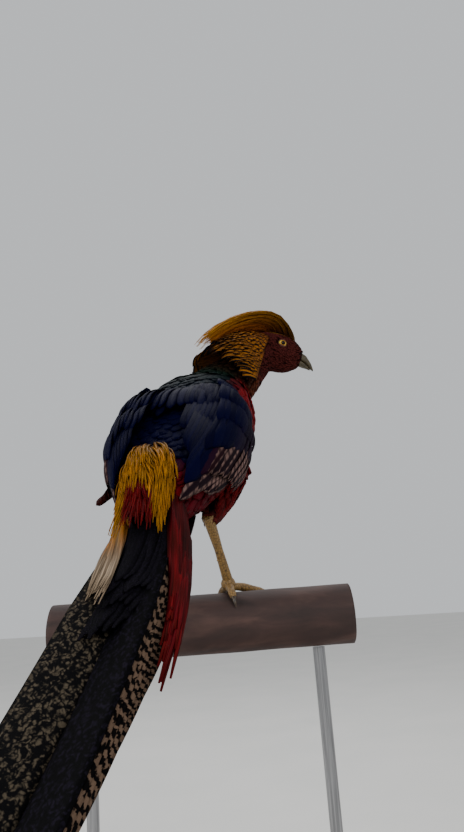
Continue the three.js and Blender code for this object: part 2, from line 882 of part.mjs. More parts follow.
function welded(geometry) {
  const spots = new Map();
  const places = [];
  const faces = [];
  const position = geometry.attributes.position;
  const order = geometry.index ? [...geometry.index.array] : [...Array(position.count).keys()];
  for (const k of order) {
    const spot = [position.getX(k), position.getY(k), position.getZ(k)];
    const key = spot.map((v) => Math.round(v * 1e4)).join();
    if (!spots.has(key)) {
      spots.set(key, places.length / 3);
      places.push(position.getX(k), position.getY(k), position.getZ(k));
    }
    faces.push(spots.get(key));
  }
  const kept = [];
  for (let k = 0; k < faces.length; k += 3) {
    const [a, b, c] = faces.slice(k, k + 3);
    if (a !== b && b !== c && a !== c) {
      kept.push(a, b, c);
    }
  }
  const merged = new THREE.BufferGeometry();
  merged.setAttribute('position', new THREE.Float32BufferAttribute(places, 3));
  merged.setIndex(kept);
  return merged;
}

// A toe runs over the pole's round top: distance along it becomes an angle round the pole's axis

function toePoint(side, spread, run, height) {
  const foot = ankleAt(side);
  const along = new THREE.Vector3(Math.cos(POLE_TURN), Math.sin(POLE_TURN), 0);
  const across = new THREE.Vector3(Math.sin(POLE_TURN), -Math.cos(POLE_TURN), 0);
  const start = foot.clone().setZ(0);
  const footAlong = start.dot(along);
  const footAcross = start.dot(across);
  const lean = rad(spread) * side;
  const arc = (footAcross + Math.cos(lean) * run) / POLE_RADIUS;
  const reach = POLE_RADIUS + height;
  return along.clone().multiplyScalar(footAlong - Math.sin(lean) * run)
    .addScaledVector(across, Math.sin(arc) * reach)
    .setZ(Math.cos(arc) * reach - POLE_RADIUS);
}

function toe(side, spread, length) {
  const points = [];
  for (let k = 0; k <= 3; k += 1) {
    points.push(toePoint(side, spread, length * k / 3, TOE_RADIUS + 1.4 - 0.35 * k));
  }
  const radii = [TOE_RADIUS + 0.7, TOE_RADIUS + 0.35, TOE_RADIUS, TOE_RADIUS - 0.35];
  return limb(points, radii, 6, UP.clone().add(new THREE.Vector3(0.2, 0, 0)));
}

function knuckle(side) {
  const ankle = ankleAt(side);
  return blob(ankle.setZ(TOE_RADIUS + 3.6), [6.4, 6.4, 6.4], 8, 6);
}

function claw(side, { spread, length }) {
  const start = length + 1.1;
  const points = [0, 0.5, 1].map((t) => toePoint(side, spread, start + CLAW_LENGTH * t, 3.7 - 1.9 * t * t));
  return limb(points, [2.2, 1.6, 0.6], 5, UP.clone().add(new THREE.Vector3(0.2, 0, 0)));
}

function spurOf(side) {
  const hock = hockAt(side);
  const ankle = ankleAt(side);
  const root = hock.clone().lerp(ankle, 0.66);
  const tip = root.clone().add(new THREE.Vector3(side * 1, SPUR_LENGTH + 3, -1));
  return limb([root, tip], [2.4, 0.7], 6, UP);
}

// Everything put together

const bird = new THREE.Group();
bird.position.z = POLE_TOP;

function add(name, solid, material) {
  const mesh = new THREE.Mesh(geometryOf(biggest(solid.simplify(FINEST_EDGE))), material);
  mesh.name = name;
  bird.add(mesh);
  return mesh;
}

const HORN = finish('#6b5b45', 0.5);
const LEG_SKIN = finish('#a3813f', 0.6);
const SCARLET = finish('#8f1218', 0.8);
const GOLD = finish('#c98a1b', 0.7);
const FACE = finish('#7a3a22', 0.85);
const DARK = finish('#141a2c', 0.7);
const BARRED = finish('#4a3327', 0.8);
const CAPE = finish('#b5701a', 0.7);
const IRIS = finish('#e0c25a', 0.15);
const BARK = finish('#4b3226', 0.85);
const STEEL = finish('#8c8c8c', 0.35, 0.9);
const BOARD = finish('#3b2a20', 0.6);

const torsoBody = torso(0);
const torsoCut = torso(JOIN_GAP);
const neckCut = neck(JOIN_GAP);
const skullCut = skull(JOIN_GAP);
const neckBody = cutBy(neck(0), [torsoCut]);
const skullBody = cutBy(skull(0), [neckCut]);

add('torso', torsoBody, SCARLET);
add('neck', neckBody, FACE);

const eyes = [1, -1].map((side) => inHead(EYE_AHEAD, side * EYE_OUT, EYE_ABOVE));
const eyeCuts = eyes.map((centre) => ball(centre, EYE_RADIUS + JOIN_GAP));

// Lids: two low ridges round each eye, the upper one reaching further round

function lid(side, from, to) {
  const ring = EYE_RADIUS - 0.2;
  const points = [0, 0.33, 0.67, 1].map((share) => {
    const turn = rad(mix(from, to, share));
    const ahead = EYE_AHEAD + Math.cos(turn) * ring;
    return inHead(ahead, side * (EYE_OUT + 2.4), EYE_ABOVE + Math.sin(turn) * ring);
  });
  return limb(points, [0.5, LID_RADIUS, LID_RADIUS, 0.5], 4, headAxes.side);
}

// The line of the mouth runs on into the cheek as a fine groove

function mouthLine(side) {
  const points = [
    inHead(MOUTH_BACK, side * 11.9, -6.5),
    inHead(mix(MOUTH_BACK, SKULL_FRONT, 0.5), side * 10.2, -5.2),
    inHead(SKULL_FRONT + 1, side * 7.6, -4),
  ];
  return limb(points, [0.5, 0.8, 0.9], 5, headAxes.up);
}

function nostril(side) {
  const points = [inHead(BILL_ROOT + 5, side * 6.4, 1), inHead(BILL_ROOT + 9, side * 5.6, 0.6)];
  return limb(points, [0.9, 0.9], 5, headAxes.up);
}

const lids = [1, -1].flatMap((side) => [lid(side, 8, 172), lid(side, 196, 344)]);
const mouthCuts = [1, -1].map((side) => mouthLine(side));
const nostrilCuts = [1, -1].map((side) => nostril(side));
add('head', cutBy(joined([skullBody, ...lids]), [...eyeCuts, ...mouthCuts]), FACE);
add('eye_left', ball(eyes[0], EYE_RADIUS), IRIS);
add('eye_right', ball(eyes[1], EYE_RADIUS), IRIS);

function upperBill(grow) {
  const points = [
    inHead(BILL_ROOT, 0, -1),
    inHead(mix(BILL_ROOT, BILL_TIP, 0.45), 0, -0.5),
    inHead(mix(BILL_ROOT, BILL_TIP, 0.82), 0, -4),
    inHead(BILL_TIP, 0, -9.5),
  ];
  return limb(points, [7.4, 6.2, 3.6, 0.9], 10, headAxes.up, grow);
}

function lowerBill() {
  const points = [
    inHead(BILL_ROOT, 0, -6.5),
    inHead(mix(BILL_ROOT, BILL_TIP, 0.45), 0, -7),
    inHead(BILL_TIP - 4.5, 0, -9),
  ];
  return limb(points, [5.6, 4.4, 1.2], 10, headAxes.up);
}

add('bill_upper', cutBy(upperBill(0), [skullCut, ...nostrilCuts]), HORN);
add('bill_lower', cutBy(lowerBill(), [skullCut, upperBill(JOIN_GAP)]), HORN);
add('crest', cutBy(crest(0), [skullCut, neckCut]), GOLD);

const tailCut = tailBlock();
const wingCuts = [];
for (const side of [1, -1]) {
  const word = side > 0 ? 'left' : 'right';
  const leg = -side;
  const thighCut = thigh(leg, JOIN_GAP);
  const shankCut = shank(leg, JOIN_GAP);
  const poleCut = solidOf(welded(pole(JOIN_GAP)));
  const wingCut = wing(side, JOIN_GAP);
  wingCuts.push(wingCut);
  add(`thigh_${word}`, cutBy(thigh(leg, 0), [torsoCut]), SCARLET);
  add(`shank_${word}`, cutBy(shank(leg, 0).add(spurOf(leg)), [thighCut]), LEG_SKIN);
  const allToes = [...FRONT_TOES, HIND_TOE];
  const toes = allToes.map((one) => toe(leg, one.spread, one.length));
  add(`foot_${word}`, cutBy(joined([knuckle(leg), ...toes]), [shankCut, poleCut]), LEG_SKIN);
  allToes.forEach((one, k) => {
    add(`claw_${word}_${k + 1}`, cutBy(claw(leg, one), [poleCut]), HORN);
  });
  add(`wing_${word}`, cutBy(wing(side, 0), [torsoCut, thighCut, neckCut, tailCut]), BARRED);
  add(`coverts_${word}`, cutBy(coverts(side, 0), [torsoCut, wingCut, thighCut, tailCut]), SCARLET);
}

const covertCuts = [1, -1].map((side) => coverts(side, JOIN_GAP));
add('rump', cutBy(rump(0), [torsoCut, tailCut, ...wingCuts, ...covertCuts]), GOLD);
add('tail', cutBy(tail(), [torsoCut]), DARK);
add('cape', cutBy(cape(0), [neckCut, skullCut, torsoCut, crest(JOIN_GAP), ...wingCuts]), CAPE);

const perch = new THREE.Mesh(pole(0), BARK);
perch.name = 'perch';
bird.add(perch);

const stand = new THREE.Group();
const baseProfile = [
  new THREE.Vector2(0, 0),
  new THREE.Vector2(BASE_RADIUS, 0),
  new THREE.Vector2(BASE_RADIUS, BASE_THICK - BASE_EDGE),
  new THREE.Vector2(BASE_RADIUS - BASE_EDGE, BASE_THICK),
  new THREE.Vector2(0, BASE_THICK),
];
const base = new THREE.Mesh(new THREE.LatheGeometry(baseProfile, 40).rotateX(Math.PI / 2), BOARD);
base.name = 'stand_base';
stand.add(base);

const rodTop = POLE_TOP - POLE_RADIUS * 2 - JOIN_GAP;
const rodLength = rodTop - BASE_THICK - JOIN_GAP;
for (const [word, side] of [['left', 1], ['right', -1]]) {
  const rod = new THREE.Mesh(new THREE.CylinderGeometry(ROD_RADIUS, ROD_RADIUS, rodLength, 20), STEEL);
  rod.rotation.x = Math.PI / 2;
  rod.position.set(
    side * ROD_SPREAD * Math.cos(POLE_TURN),
    side * ROD_SPREAD * Math.sin(POLE_TURN),
    BASE_THICK + JOIN_GAP + rodLength / 2,
  );
  rod.name = `stand_rod_${word}`;
  stand.add(rod);
}

const model = new THREE.Group();
model.add(bird, stand);
export default model;
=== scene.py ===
# The looks of a life-size golden pheasant cock on a cut length of pole, held by a plain display stand.
# Sizes here are millimetres in the bird's own frame, whose height is counted from the top of the pole.
# One function, placed(), turns them into the part's metres.

import math

import bpy
import numpy as np
from mathutils import Matrix, Vector


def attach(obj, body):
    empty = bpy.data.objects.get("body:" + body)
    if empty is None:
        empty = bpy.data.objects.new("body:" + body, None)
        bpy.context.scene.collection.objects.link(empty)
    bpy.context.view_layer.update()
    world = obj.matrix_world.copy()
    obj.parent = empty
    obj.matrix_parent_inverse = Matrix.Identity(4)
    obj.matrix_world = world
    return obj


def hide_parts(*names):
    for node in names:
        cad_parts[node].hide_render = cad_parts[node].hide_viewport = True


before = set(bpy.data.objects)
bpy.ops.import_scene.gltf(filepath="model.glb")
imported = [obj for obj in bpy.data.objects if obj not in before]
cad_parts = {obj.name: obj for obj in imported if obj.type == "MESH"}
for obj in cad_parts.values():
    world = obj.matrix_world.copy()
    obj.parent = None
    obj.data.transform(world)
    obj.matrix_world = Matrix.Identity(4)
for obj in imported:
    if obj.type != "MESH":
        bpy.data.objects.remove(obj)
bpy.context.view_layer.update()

# Sizes

MM = 0.001
UP = np.array((0, 0, 1.0))

POLE_TOP = 364.0
POLE_RADIUS = 24.5
POLE_LENGTH = 250.0
POLE_TURN = math.radians(16)
ALONG_POLE = np.array((math.cos(POLE_TURN), math.sin(POLE_TURN), 0))
# Level and square to the pole, the way the bird's breast points.
AHEAD = np.array((math.sin(POLE_TURN), -math.cos(POLE_TURN), 0))

# The body's middle line from the tail's root to the breast. A station is a place on it, counted in points.
BODY = np.array([
    (-18, 206, -22), (-15, 166, 15), (-12, 127, 52), (-8, 88, 80),
    (-4, 48, 110), (-2, 8, 139), (-3, -30, 162), (-7, -62, 176),
], float)
# Half width, height over the line and depth under it, at each of its points.
BODY_SIZE = np.array([
    (24, 9, 9), (21, 11, 11), (21, 17, 15), (38, 28, 30),
    (51, 34, 44), (55, 39, 48), (52, 43, 50), (37, 33, 42),
], float)
BACK_SQUARENESS = 0.74
BELLY_SQUARENESS = 0.9
BREAST_END = 7.0
NECK = np.array([(-8, -28, 168), (-19, -48, 190), (-36, -67, 211), (-54, -79, 230)], float)
NECK_SIZE = np.array([(40, 36, 40), (31, 29, 33), (23.5, 23, 24), (18.5, 18, 18)], float)
NECK_END = 3.0
PAST_NECK = 26

SKULL_CENTRE = np.array((-63, -84, 235), float)
HEAD_TURN = math.radians(64)
HEAD_DROP = math.radians(19)
SKULL_BACK = -25
SKULL_FRONT = 31
SKULL_SIZE = np.array([(11, 10, 12), (15, 16, 20), (15, 18, 23), (13, 17, 21), (7.5, 8.5, 11)], float)
EYE = np.array((7, 11.4, 4.5))
EYE_RADIUS = 4.2
EYE_SINK = 0.7

HIP = np.array((30, 2, 104), float)
HOCK = np.array((24, 36, 57), float)
LEFT_HOCK_BACK = 9
ANKLE_OUT = 23
ANKLE_HEIGHT = 11
TOES = [(-24, 33), (4, 44), (60, 38), (168, 19)]
TOE_RADIUS = 3.4
CLAW_LENGTH = 9

TAIL_ROOT = np.array((-13, 133, 47), float)
TAIL_LENGTH = 640
TAIL_SLOPE = (math.radians(46), math.radians(29))
TAIL_SWAY = 0.07
TAIL_ROOF = math.radians(19)
ROOF_FALL = math.tan(TAIL_ROOF)

# How deep the skin lies under the coat's surface, on the body, the neck and the skull.
COAT_DEPTH = 4.0
NECK_COAT_DEPTH = 3.0
SKULL_COAT_DEPTH = 1.2
VOXEL = 1.6

SIDES = (("left", 1), ("right", -1))

chance = np.random.default_rng(7)

# Lines and places


def mix(a, b, t):
    return a + (b - a) * t


def unit(v):
    v = np.asarray(v, float)
    return v / (np.linalg.norm(v, axis=-1, keepdims=True) + 1e-12)


def as_rows(*values):
    """Numbers and rows of numbers, as rows of one length."""
    return np.broadcast_arrays(*[np.atleast_1d(np.asarray(v, float)) for v in values])


def smooth_line(points, s):
    """A smooth line through points, at places s counted in points. Its tension follows their spacing."""
    p = np.vstack([2 * points[0] - points[1], points, 2 * points[-1] - points[-2]])
    s = np.clip(np.atleast_1d(np.asarray(s, float)), 0, len(points) - 1 - 1e-9)
    k = s.astype(int)
    t = (s - k)[:, None]
    a, b, c, d = p[k], p[k + 1], p[k + 2], p[k + 3]
    da, db, dc = (np.linalg.norm(gap, axis=1, keepdims=True) ** 0.5 for gap in (b - a, c - b, d - c))
    m = ((b - a) / da - (c - a) / (da + db) + (c - b) / db) * db
    n = ((c - b) / db - (d - b) / (db + dc) + (d - c) / dc) * db
    return b + m * t + (3 * c - 3 * b - 2 * m - n) * t ** 2 + (2 * b - 2 * c + m + n) * t ** 3


def axes_along(ahead, guide):
    """Side and up of a line that runs ahead, with up as near as it can be to a guide."""
    side = unit(np.cross(guide, ahead))
    return side, unit(np.cross(ahead, side))


def heading(points, s):
    s = np.asarray(s, float)
    return unit(smooth_line(points, s + 0.01) - smooth_line(points, s - 0.01))


def on_body(s, above, lift, side):
    """A place on the body: a station, degrees above the flank's middle, a height off the skin, and a side."""
    s, above, lift = as_rows(s, above, lift)
    across_way, up_way = axes_along(heading(BODY, s), UP)
    size = smooth_line(BODY_SIZE, s)
    turn = np.radians(above)
    power = np.where(np.sin(turn) > 0, BACK_SQUARENESS, BELLY_SQUARENESS)
    across = np.sign(np.cos(turn)) * np.abs(np.cos(turn)) ** power
    upright = np.sign(np.sin(turn)) * np.abs(np.sin(turn)) ** power
    tall = np.where(upright > 0, size[:, 1], size[:, 2])
    return (smooth_line(BODY, s) + across_way * (side * across * (size[:, 0] + lift))[:, None]
            + up_way * (upright * (tall + lift))[:, None])


def neck_axes(s):
    """Side and back of the neck, whose back turns with the head."""
    t = np.atleast_1d(np.asarray(s, float))[:, None] / NECK_END
    back = mix(np.array((0.1, 1, 0.4)), np.array((0.85, 0.5, 0.4)), t)
    return axes_along(heading(NECK, np.clip(s, 0, NECK_END - 0.02)), back)


def on_neck(s, turn, lift):
    """A place round the neck, counted from the line down its back. Past its end the line runs straight on."""
    s, turn, lift = as_rows(s, turn, lift)
    side, up = neck_axes(s)
    size = smooth_line(NECK_SIZE, s)
    beyond = heading(NECK, NECK_END - 0.02) * np.clip(s - NECK_END, 0, 1)[:, None] * PAST_NECK
    return (smooth_line(NECK, s) + beyond + side * (np.sin(-turn) * (size[:, 0] + lift))[:, None]
            + up * (np.cos(turn) * (size[:, 1] + lift))[:, None])


head_ahead = np.array((-math.sin(HEAD_TURN) * math.cos(HEAD_DROP),
                       -math.cos(HEAD_TURN) * math.cos(HEAD_DROP), -math.sin(HEAD_DROP)))
head_side, head_up = axes_along(head_ahead, UP)


def in_head(ahead, left, up):
    """A place from the skull's centre."""
    spot = SKULL_CENTRE
    for run, way in ((ahead, head_ahead), (left, head_side), (up, head_up)):
        spot = spot + np.multiply.outer(np.asarray(run, float), way)
    return spot


def from_skull(points):
    """How far ahead, to the left and up from the skull's centre each point is."""
    off = np.asarray(points) - SKULL_CENTRE
    return off @ head_ahead, off @ head_side, off @ head_up


def tail_slope(run):
    return mix(TAIL_SLOPE[0], TAIL_SLOPE[1], np.clip(run / TAIL_LENGTH, 0, 1))


def tail_point(run):
    """A place on the tail's bent middle line, found by adding up its slope on the way there."""
    run = np.atleast_1d(np.asarray(run, float))
    slope = tail_slope(run[:, None] * (np.arange(40) + 0.5) / 40)
    way = np.stack([np.full(len(run), TAIL_SWAY), np.cos(slope).mean(1), -np.sin(slope).mean(1)], 1)
    return TAIL_ROOT + way * run[:, None]


def in_tail(run, across, above):
    """A place from the tail's middle line, so far to the left and above it."""
    run, across, above = as_rows(run, across, above)
    slope = tail_slope(run)
    ahead = np.stack([np.zeros_like(slope), np.cos(slope), -np.sin(slope)], 1)
    right, up = axes_along(ahead, UP)
    return tail_point(run) - right * across[:, None] + up * above[:, None]


def hock_at(side):
    return HOCK * (side, 1, 1) + (0, LEFT_HOCK_BACK if side > 0 else 0, 0)


def ankle_at(side):
    return np.array((side * ANKLE_OUT, side * ANKLE_OUT * math.tan(POLE_TURN), ANKLE_HEIGHT))


def placed(points):
    """Millimetres in the bird's frame as the part's metres."""
    return (np.asarray(points, float) + (0, 0, POLE_TOP)) * MM


def linear(hex_colour):
    """An sRGB hex colour as the linear values that shaders use."""
    parts = [int(hex_colour[k:k + 2], 16) / 255 for k in (1, 3, 5)]
    return [v / 12.92 if v <= 0.04045 else ((v + 0.055) / 1.055) ** 2.4 for v in parts] + [1.0]


# Meshes and pieces


def mesh_from(name, points, faces):
    mesh = bpy.data.meshes.new(name)
    mesh.from_pydata([tuple(p) for p in points], [], faces)
    mesh.validate()
    mesh.update()
    mesh.polygons.foreach_set("use_smooth", [True] * len(mesh.polygons))
    return mesh


def in_scene(name, data):
    made = bpy.data.objects.new(name, data)
    bpy.context.scene.collection.objects.link(made)
    return made


def piece(name, mesh, material, slot, *nodes):
    """A finished piece of the model, which may stand for some of the solid part's nodes."""
    made = in_scene(name, mesh)
    if not mesh.materials:
        mesh.materials.append(material)
    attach(made, "root")
    if nodes:
        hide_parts(*nodes)
    return made


def shaped(name, form, finish, slot, *nodes):
    """A piece from the points, in millimetres, and the faces of a form."""
    return piece(name, mesh_from(name, placed(form[0]), form[1]), FINISH[finish], slot, *nodes)


def loft(loops):
    """A closed form over equal loops, each turning counterclockwise as seen from the far end."""
    rows, count = len(loops), len(loops[0])
    points = [p for loop in loops for p in loop]
    pairs = [[(row * count + k, row * count + (k + 1) % count) for k in range(count)] for row in range(rows)]
    faces = [(a, b, b + count, a + count) for row in pairs[:-1] for a, b in row]
    points.append(np.mean(loops[0], axis=0))
    faces += [(b, a, len(points) - 1) for a, b in pairs[0]]
    points.append(np.mean(loops[-1], axis=0))
    faces += [(a, b, len(points) - 1) for a, b in pairs[-1]]
    return points, faces


def merged(parts):
    points, faces = [], []
    for some_points, some_faces in parts:
        start = len(points)
        points.extend(some_points)
        faces.extend(tuple(start + k for k in face) for face in some_faces)
    return points, faces


def outward(points, faces):
    """The same closed surface with its faces turned outwards."""
    at = np.asarray(points, float)
    volume = sum(at[f[0]] @ np.cross(at[f[k]], at[f[k + 1]]) for f in faces for k in range(1, len(f) - 1))
    return points, faces if volume > 0 else [tuple(reversed(f)) for f in faces]


def ring(centre, side, up, half, tall, count, deep=None):
    """An oval loop. Its lower half may have a depth of its own."""
    turn = np.arange(count) * 2 * math.pi / count
    low = tall if deep is None else deep
    rise = np.sin(turn) * np.where(np.sin(turn) > 0, tall, low)
    return centre + np.outer(np.cos(turn) * half, side) + np.outer(rise, up)


def tube(points, radii, count, guide, rows):
    """A round limb along a smooth line of points, with a radius at each."""
    points = np.asarray(points, float)
    loops = []
    for s in np.linspace(0, len(points) - 1, rows):
        side, up = axes_along(heading(points, s)[0], guide)
        radius = np.interp(s, range(len(radii)), radii)
        loops.append(ring(smooth_line(points, s)[0], side, up, radius, radius, count))
    return loft(loops)


def egg(centre, sizes, axes, sides, rows):
    """A round form with half sizes along its side, up and ahead."""
    side, up, ahead = axes
    loops = []
    for lean in np.linspace(0.04, math.pi - 0.04, rows):
        wide = math.sin(lean)
        middle = centre - ahead * math.cos(lean) * sizes[2]
        loops.append(ring(middle, side, up, sizes[0] * wide, sizes[1] * wide, sides))
    return loft(loops)


def give(mesh, name, values, kind="FLOAT_VECTOR"):
    """A named value on each of a mesh's points."""
    layer = mesh.attributes.new(name, kind, "POINT")
    key = {"FLOAT_VECTOR": "vector", "FLOAT_COLOR": "color", "FLOAT": "value"}[kind]
    layer.data.foreach_set(key, np.asarray(values, np.float32).ravel())


# Nodes


def add(tree, kind, links=None, stops=(), **settings):
    """One node with its settings. Its inputs are counted or named among those in use.

    An input takes a socket, another node's first output in use, or a plain value. A ramp takes its stops."""
    node = tree.nodes.new(kind)
    for name, value in settings.items():
        setattr(node, name, value)
    for k, (place, colour) in enumerate(stops):
        spot = node.color_ramp.elements[k] if k < 2 else node.color_ramp.elements.new(place)
        spot.position = place
        spot.color = linear(colour)
    in_use = [socket for socket in node.inputs if socket.enabled]
    for key, source in (links or {}).items():
        socket = in_use[key] if isinstance(key, int) else next(s for s in in_use if s.name == key)
        if isinstance(source, bpy.types.Node):
            source = next(s for s in source.outputs if s.enabled)
        if isinstance(source, bpy.types.NodeSocket):
            tree.links.new(source, socket)
        else:
            socket.default_value = source
    return node


MATH = "ShaderNodeMath"
VECTOR = "ShaderNodeVectorMath"
PARTS = "ShaderNodeSeparateXYZ"
RANGE = "ShaderNodeMapRange"
RAMP = "ShaderNodeValToRGB"
MIX = "ShaderNodeMix"
NOISE = "ShaderNodeTexNoise"
CARRIED = "GeometryNodeInputNamedAttribute"
STORE = "GeometryNodeStoreNamedAttribute"
COLOUR = {"data_type": "RGBA"}
DARKENED = {"data_type": "RGBA", "blend_type": "MULTIPLY"}
SMOOTH = {"interpolation_type": "SMOOTHSTEP"}
VECTORS = {"data_type": "FLOAT_VECTOR"}
ON_POINTS = {"data_type": "FLOAT_VECTOR", "domain": "POINT"}

# Colours by place, shared by the skin and the coat

# The dark back's colours, the reds, the rust and the rump's gold are set darker than the bird's own: painted
# shade for a bird standing in shade.
MANTLE_GREEN = np.array(linear("#0b2016"))
BACK_NAVY = np.array(linear("#07082a"))
SCARLET = np.array(linear("#7e0c16"))
CRIMSON = np.array(linear("#600718"))
RUST = np.array(linear("#5a2420"))
THROAT = np.array(linear("#64301c"))
COLLAR = np.array(linear("#3a1e10"))
GOLD = np.array(linear("#e6aa30"))
RUMP_GOLD = np.array(linear("#b07c12"))
ORANGE = np.array(linear("#c86f1e"))
BUFF = np.array(linear("#b9a67e"))
THIGH = np.array(linear("#7c1a1a"))
CHESTNUT = np.array(linear("#4e2018"))
WING_DUSK = np.array(linear("#2c1e28"))
DARK_TAIL = np.array(linear("#262030"))

# Each edge of colour is where it lies and how wide it fades: stations or degrees on the body and neck,
# millimetres from the skull's centre, or heights over the pole.
MANTLE_FROM = (5.7, 1.0)
BACK_OVER = (36, 14)
BACK_FROM = (3.0, 0.5)
RUMP_OVER = {"left": 40, "right": 86}
RUMP_TO = (3.2, 0.3)
RUMP_FROM = (1.9, 0.3)
BELLY_UNDER = (10, 30)
BELLY_TO = (4.2, 1.0)
THROAT_ROUND = (108, 16)
COLLAR_FROM = (1.2, 0.7)
COLLAR_OVER = 165
FACE_WITHIN = (36, 8)
CROWN_OVER = (15, 3)
THIGH_UNDER = 100
THIGH_BEFORE = 60
LOW_THIGH_UNDER = 74


def soften(value, edge, width):
    """From 0 to 1 across an edge."""
    return np.clip((value - edge) / width + 0.5, 0, 1)[..., None]


def along_body(points):
    """For each point, its station, its degrees above the flank's middle, and whether it is on the left."""
    stations = np.linspace(0, BREAST_END, 141)
    line = smooth_line(BODY, stations)
    near = np.argmin(((points[:, None] - line[None]) ** 2).sum(2), axis=1)
    s = stations[near]
    side, up = axes_along(heading(BODY, s), UP)
    off = points - line[near]
    size = smooth_line(BODY_SIZE, s)
    out = (off * side).sum(1)
    above = np.degrees(np.arctan2((off * up).sum(1) / size[:, 1], np.abs(out) / size[:, 0]))
    return s, above, out > 0


def along_neck(points):
    """For each point, its place along the neck, its degrees round from the back, and its distance."""
    stations = np.linspace(0, NECK_END, 61)
    line = smooth_line(NECK, stations)
    gap = ((points[:, None] - line[None]) ** 2).sum(2)
    near = np.argmin(gap, axis=1)
    side, up = neck_axes(stations[near])
    off = points - line[near]
    turn = np.degrees(np.arctan2((off * side).sum(1), (off * up).sum(1)))
    return stations[near], turn, np.sqrt(gap.min(1))


def markings(points):
    """The bird's colours as a function of place, for its skin and for every small feather."""
    s, above, left = along_body(points)
    t, turn, _ = along_neck(points)
    colour = np.broadcast_to(SCARLET, (len(points), 4)).copy()
    dark_back = mix(BACK_NAVY, MANTLE_GREEN, soften(s, *MANTLE_FROM))
    colour = mix(colour, dark_back, soften(above, *BACK_OVER) * soften(s, *BACK_FROM))
    over_rump = soften(above, np.where(left, RUMP_OVER["left"], RUMP_OVER["right"]), 14)
    colour = mix(colour, RUMP_GOLD, over_rump * (1 - soften(s, *RUMP_TO)) * soften(s, *RUMP_FROM))
    colour = mix(colour, CRIMSON, (1 - soften(above, *BELLY_UNDER)) * (1 - soften(s, *BELLY_TO)))
    collar = mix(np.broadcast_to(COLLAR, colour.shape), THROAT, soften(np.abs(turn), *THROAT_ROUND))
    colour = mix(colour, collar, soften(t, *COLLAR_FROM) * (points[:, 2] > COLLAR_OVER)[:, None])
    face = 1 - soften(np.linalg.norm((points - SKULL_CENTRE) * (1, 1, 0.9), axis=1), *FACE_WITHIN)
    colour = mix(colour, RUST, face)
    colour = mix(colour, GOLD, soften(from_skull(points)[2], *CROWN_OVER) * face)
    thigh = (points[:, 2] < THIGH_UNDER) & (points[:, 1] < THIGH_BEFORE)
    colour[thigh] = mix(colour[thigh], THIGH, 0.7)
    low = (points[:, 2] < LOW_THIGH_UNDER) & thigh
    colour[low] = mix(colour[low], RUST * 1.6, 0.7)
    return colour


def flow(points):
    """The lie of the coat: from the bill over the crown and down the neck, body and thighs."""
    s, _, _ = along_body(points)
    t, _, gap = along_neck(points)
    down_neck = -heading(NECK, np.clip(t, 0, NECK_END - 0.01))
    in_neck = soften(points[:, 2] - 0.35 * points[:, 1], 205, 40) * soften(60 - gap, 0, 20)
    lie = mix(-heading(BODY, s), down_neck, in_neck)
    head = np.linalg.norm(points - SKULL_CENTRE, axis=1)
    lie = mix(lie, -head_ahead + 0.1 * head_up, 1 - soften(head, 30, 14))
    for side in (1, -1):
        way = unit(HOCK - HIP) * (side, 1, 1)
        start = HIP * (side, 1, 1)
        along = (points - start) @ way
        apart = np.linalg.norm(points - start - np.outer(along, way), axis=1)
        on_limb = soften(30 - apart, 0, 8) * soften(along, 6, 16) * soften(96 - points[:, 2], 0, 16)
        lie = mix(lie, way, on_limb)
    return unit(lie)


# Skin


def round_off(run, least):
    """How much a form's section closes within a run of 1 from its end."""
    return math.sqrt(max(least, 1 - max(0, 1 - run) ** 2))


def body_form():
    loops = []
    turn = np.degrees(np.arange(56) * 2 * math.pi / 56)
    for s in np.linspace(1.72, BREAST_END, 64):
        closing = round_off(BREAST_END + 0.02 - s, 0.02) * round_off((s - 1.68) / 0.5, 0.05)
        centre = smooth_line(BODY, s)[0]
        loops.append(centre + (on_body(s, turn, -COAT_DEPTH, 1) - centre) * closing)
    return loft(loops)


def neck_form():
    loops = []
    for s in np.linspace(0.1, NECK_END, 34):
        side, up = neck_axes(s)
        size = smooth_line(NECK_SIZE, s)[0] - NECK_COAT_DEPTH
        loops.append(ring(smooth_line(NECK, s)[0], side[0], up[0], size[0], size[1], 40))
    return loft(loops)


# Round hollows and swellings of the skull's sides, at the eye's socket, the brow and the cheek: their place
# ahead and up, their reach both ways, and how far they push out.
FACE_FORMS = [
    (EYE[0], EYE[2], 7, 5.5, -2.4),
    (EYE[0] + 2, EYE[2] + 8, 9, 3.2, 1.0),
    (3, -8, 8, 5, 0.9),
]


def pushed(ahead, left, high, forms):
    """How far hollows and swellings move a place of the head sideways."""
    push = sum(far * np.exp(-((ahead - at) / run) ** 2 - ((high - up) / tall) ** 2)
               for at, up, run, tall, far in forms)
    return np.outer(np.sign(left) * push, head_side)


def skull_form():
    """The skull with a hollow for each eye, a brow over it and a cheek behind."""
    loops = []
    for t in np.linspace(0, 1, 34):
        size = smooth_line(SKULL_SIZE, t * 4)[0] - SKULL_COAT_DEPTH
        ahead = mix(SKULL_BACK, SKULL_FRONT, t)
        centre = in_head(ahead, 0, 0)
        loop = ring(centre, head_side, head_up, size[0], size[1], 48, size[2])
        left, high = (loop - centre) @ head_side, (loop - centre) @ head_up
        loops.append(loop + pushed(ahead, left, high, FACE_FORMS))
    return loft(loops)


KNEE_FORWARD = np.array((0, -7, 0))
THIGH_INSIDE = 17
THIGH_RADII = [7, 20.5, 13.5, 4.6]
LIMB_GUIDE = (0, 1, 0.3)


def thigh_form(side):
    """A thigh from inside the body over the hip and the knee to the hock."""
    hip, hock = HIP * (side, 1, 1), hock_at(side)
    knee = mix(hip, hock, 0.45) + KNEE_FORWARD
    inside = hip + unit(hip - knee) * THIGH_INSIDE
    return tube([inside, hip, knee, hock], THIGH_RADII, 30, LIMB_GUIDE, 34)


def evaluated_mesh(source):
    """The plain mesh that an object's modifiers make."""
    bpy.context.view_layer.update()
    done = source.evaluated_get(bpy.context.evaluated_depsgraph_get())
    return bpy.data.meshes.new_from_object(done)


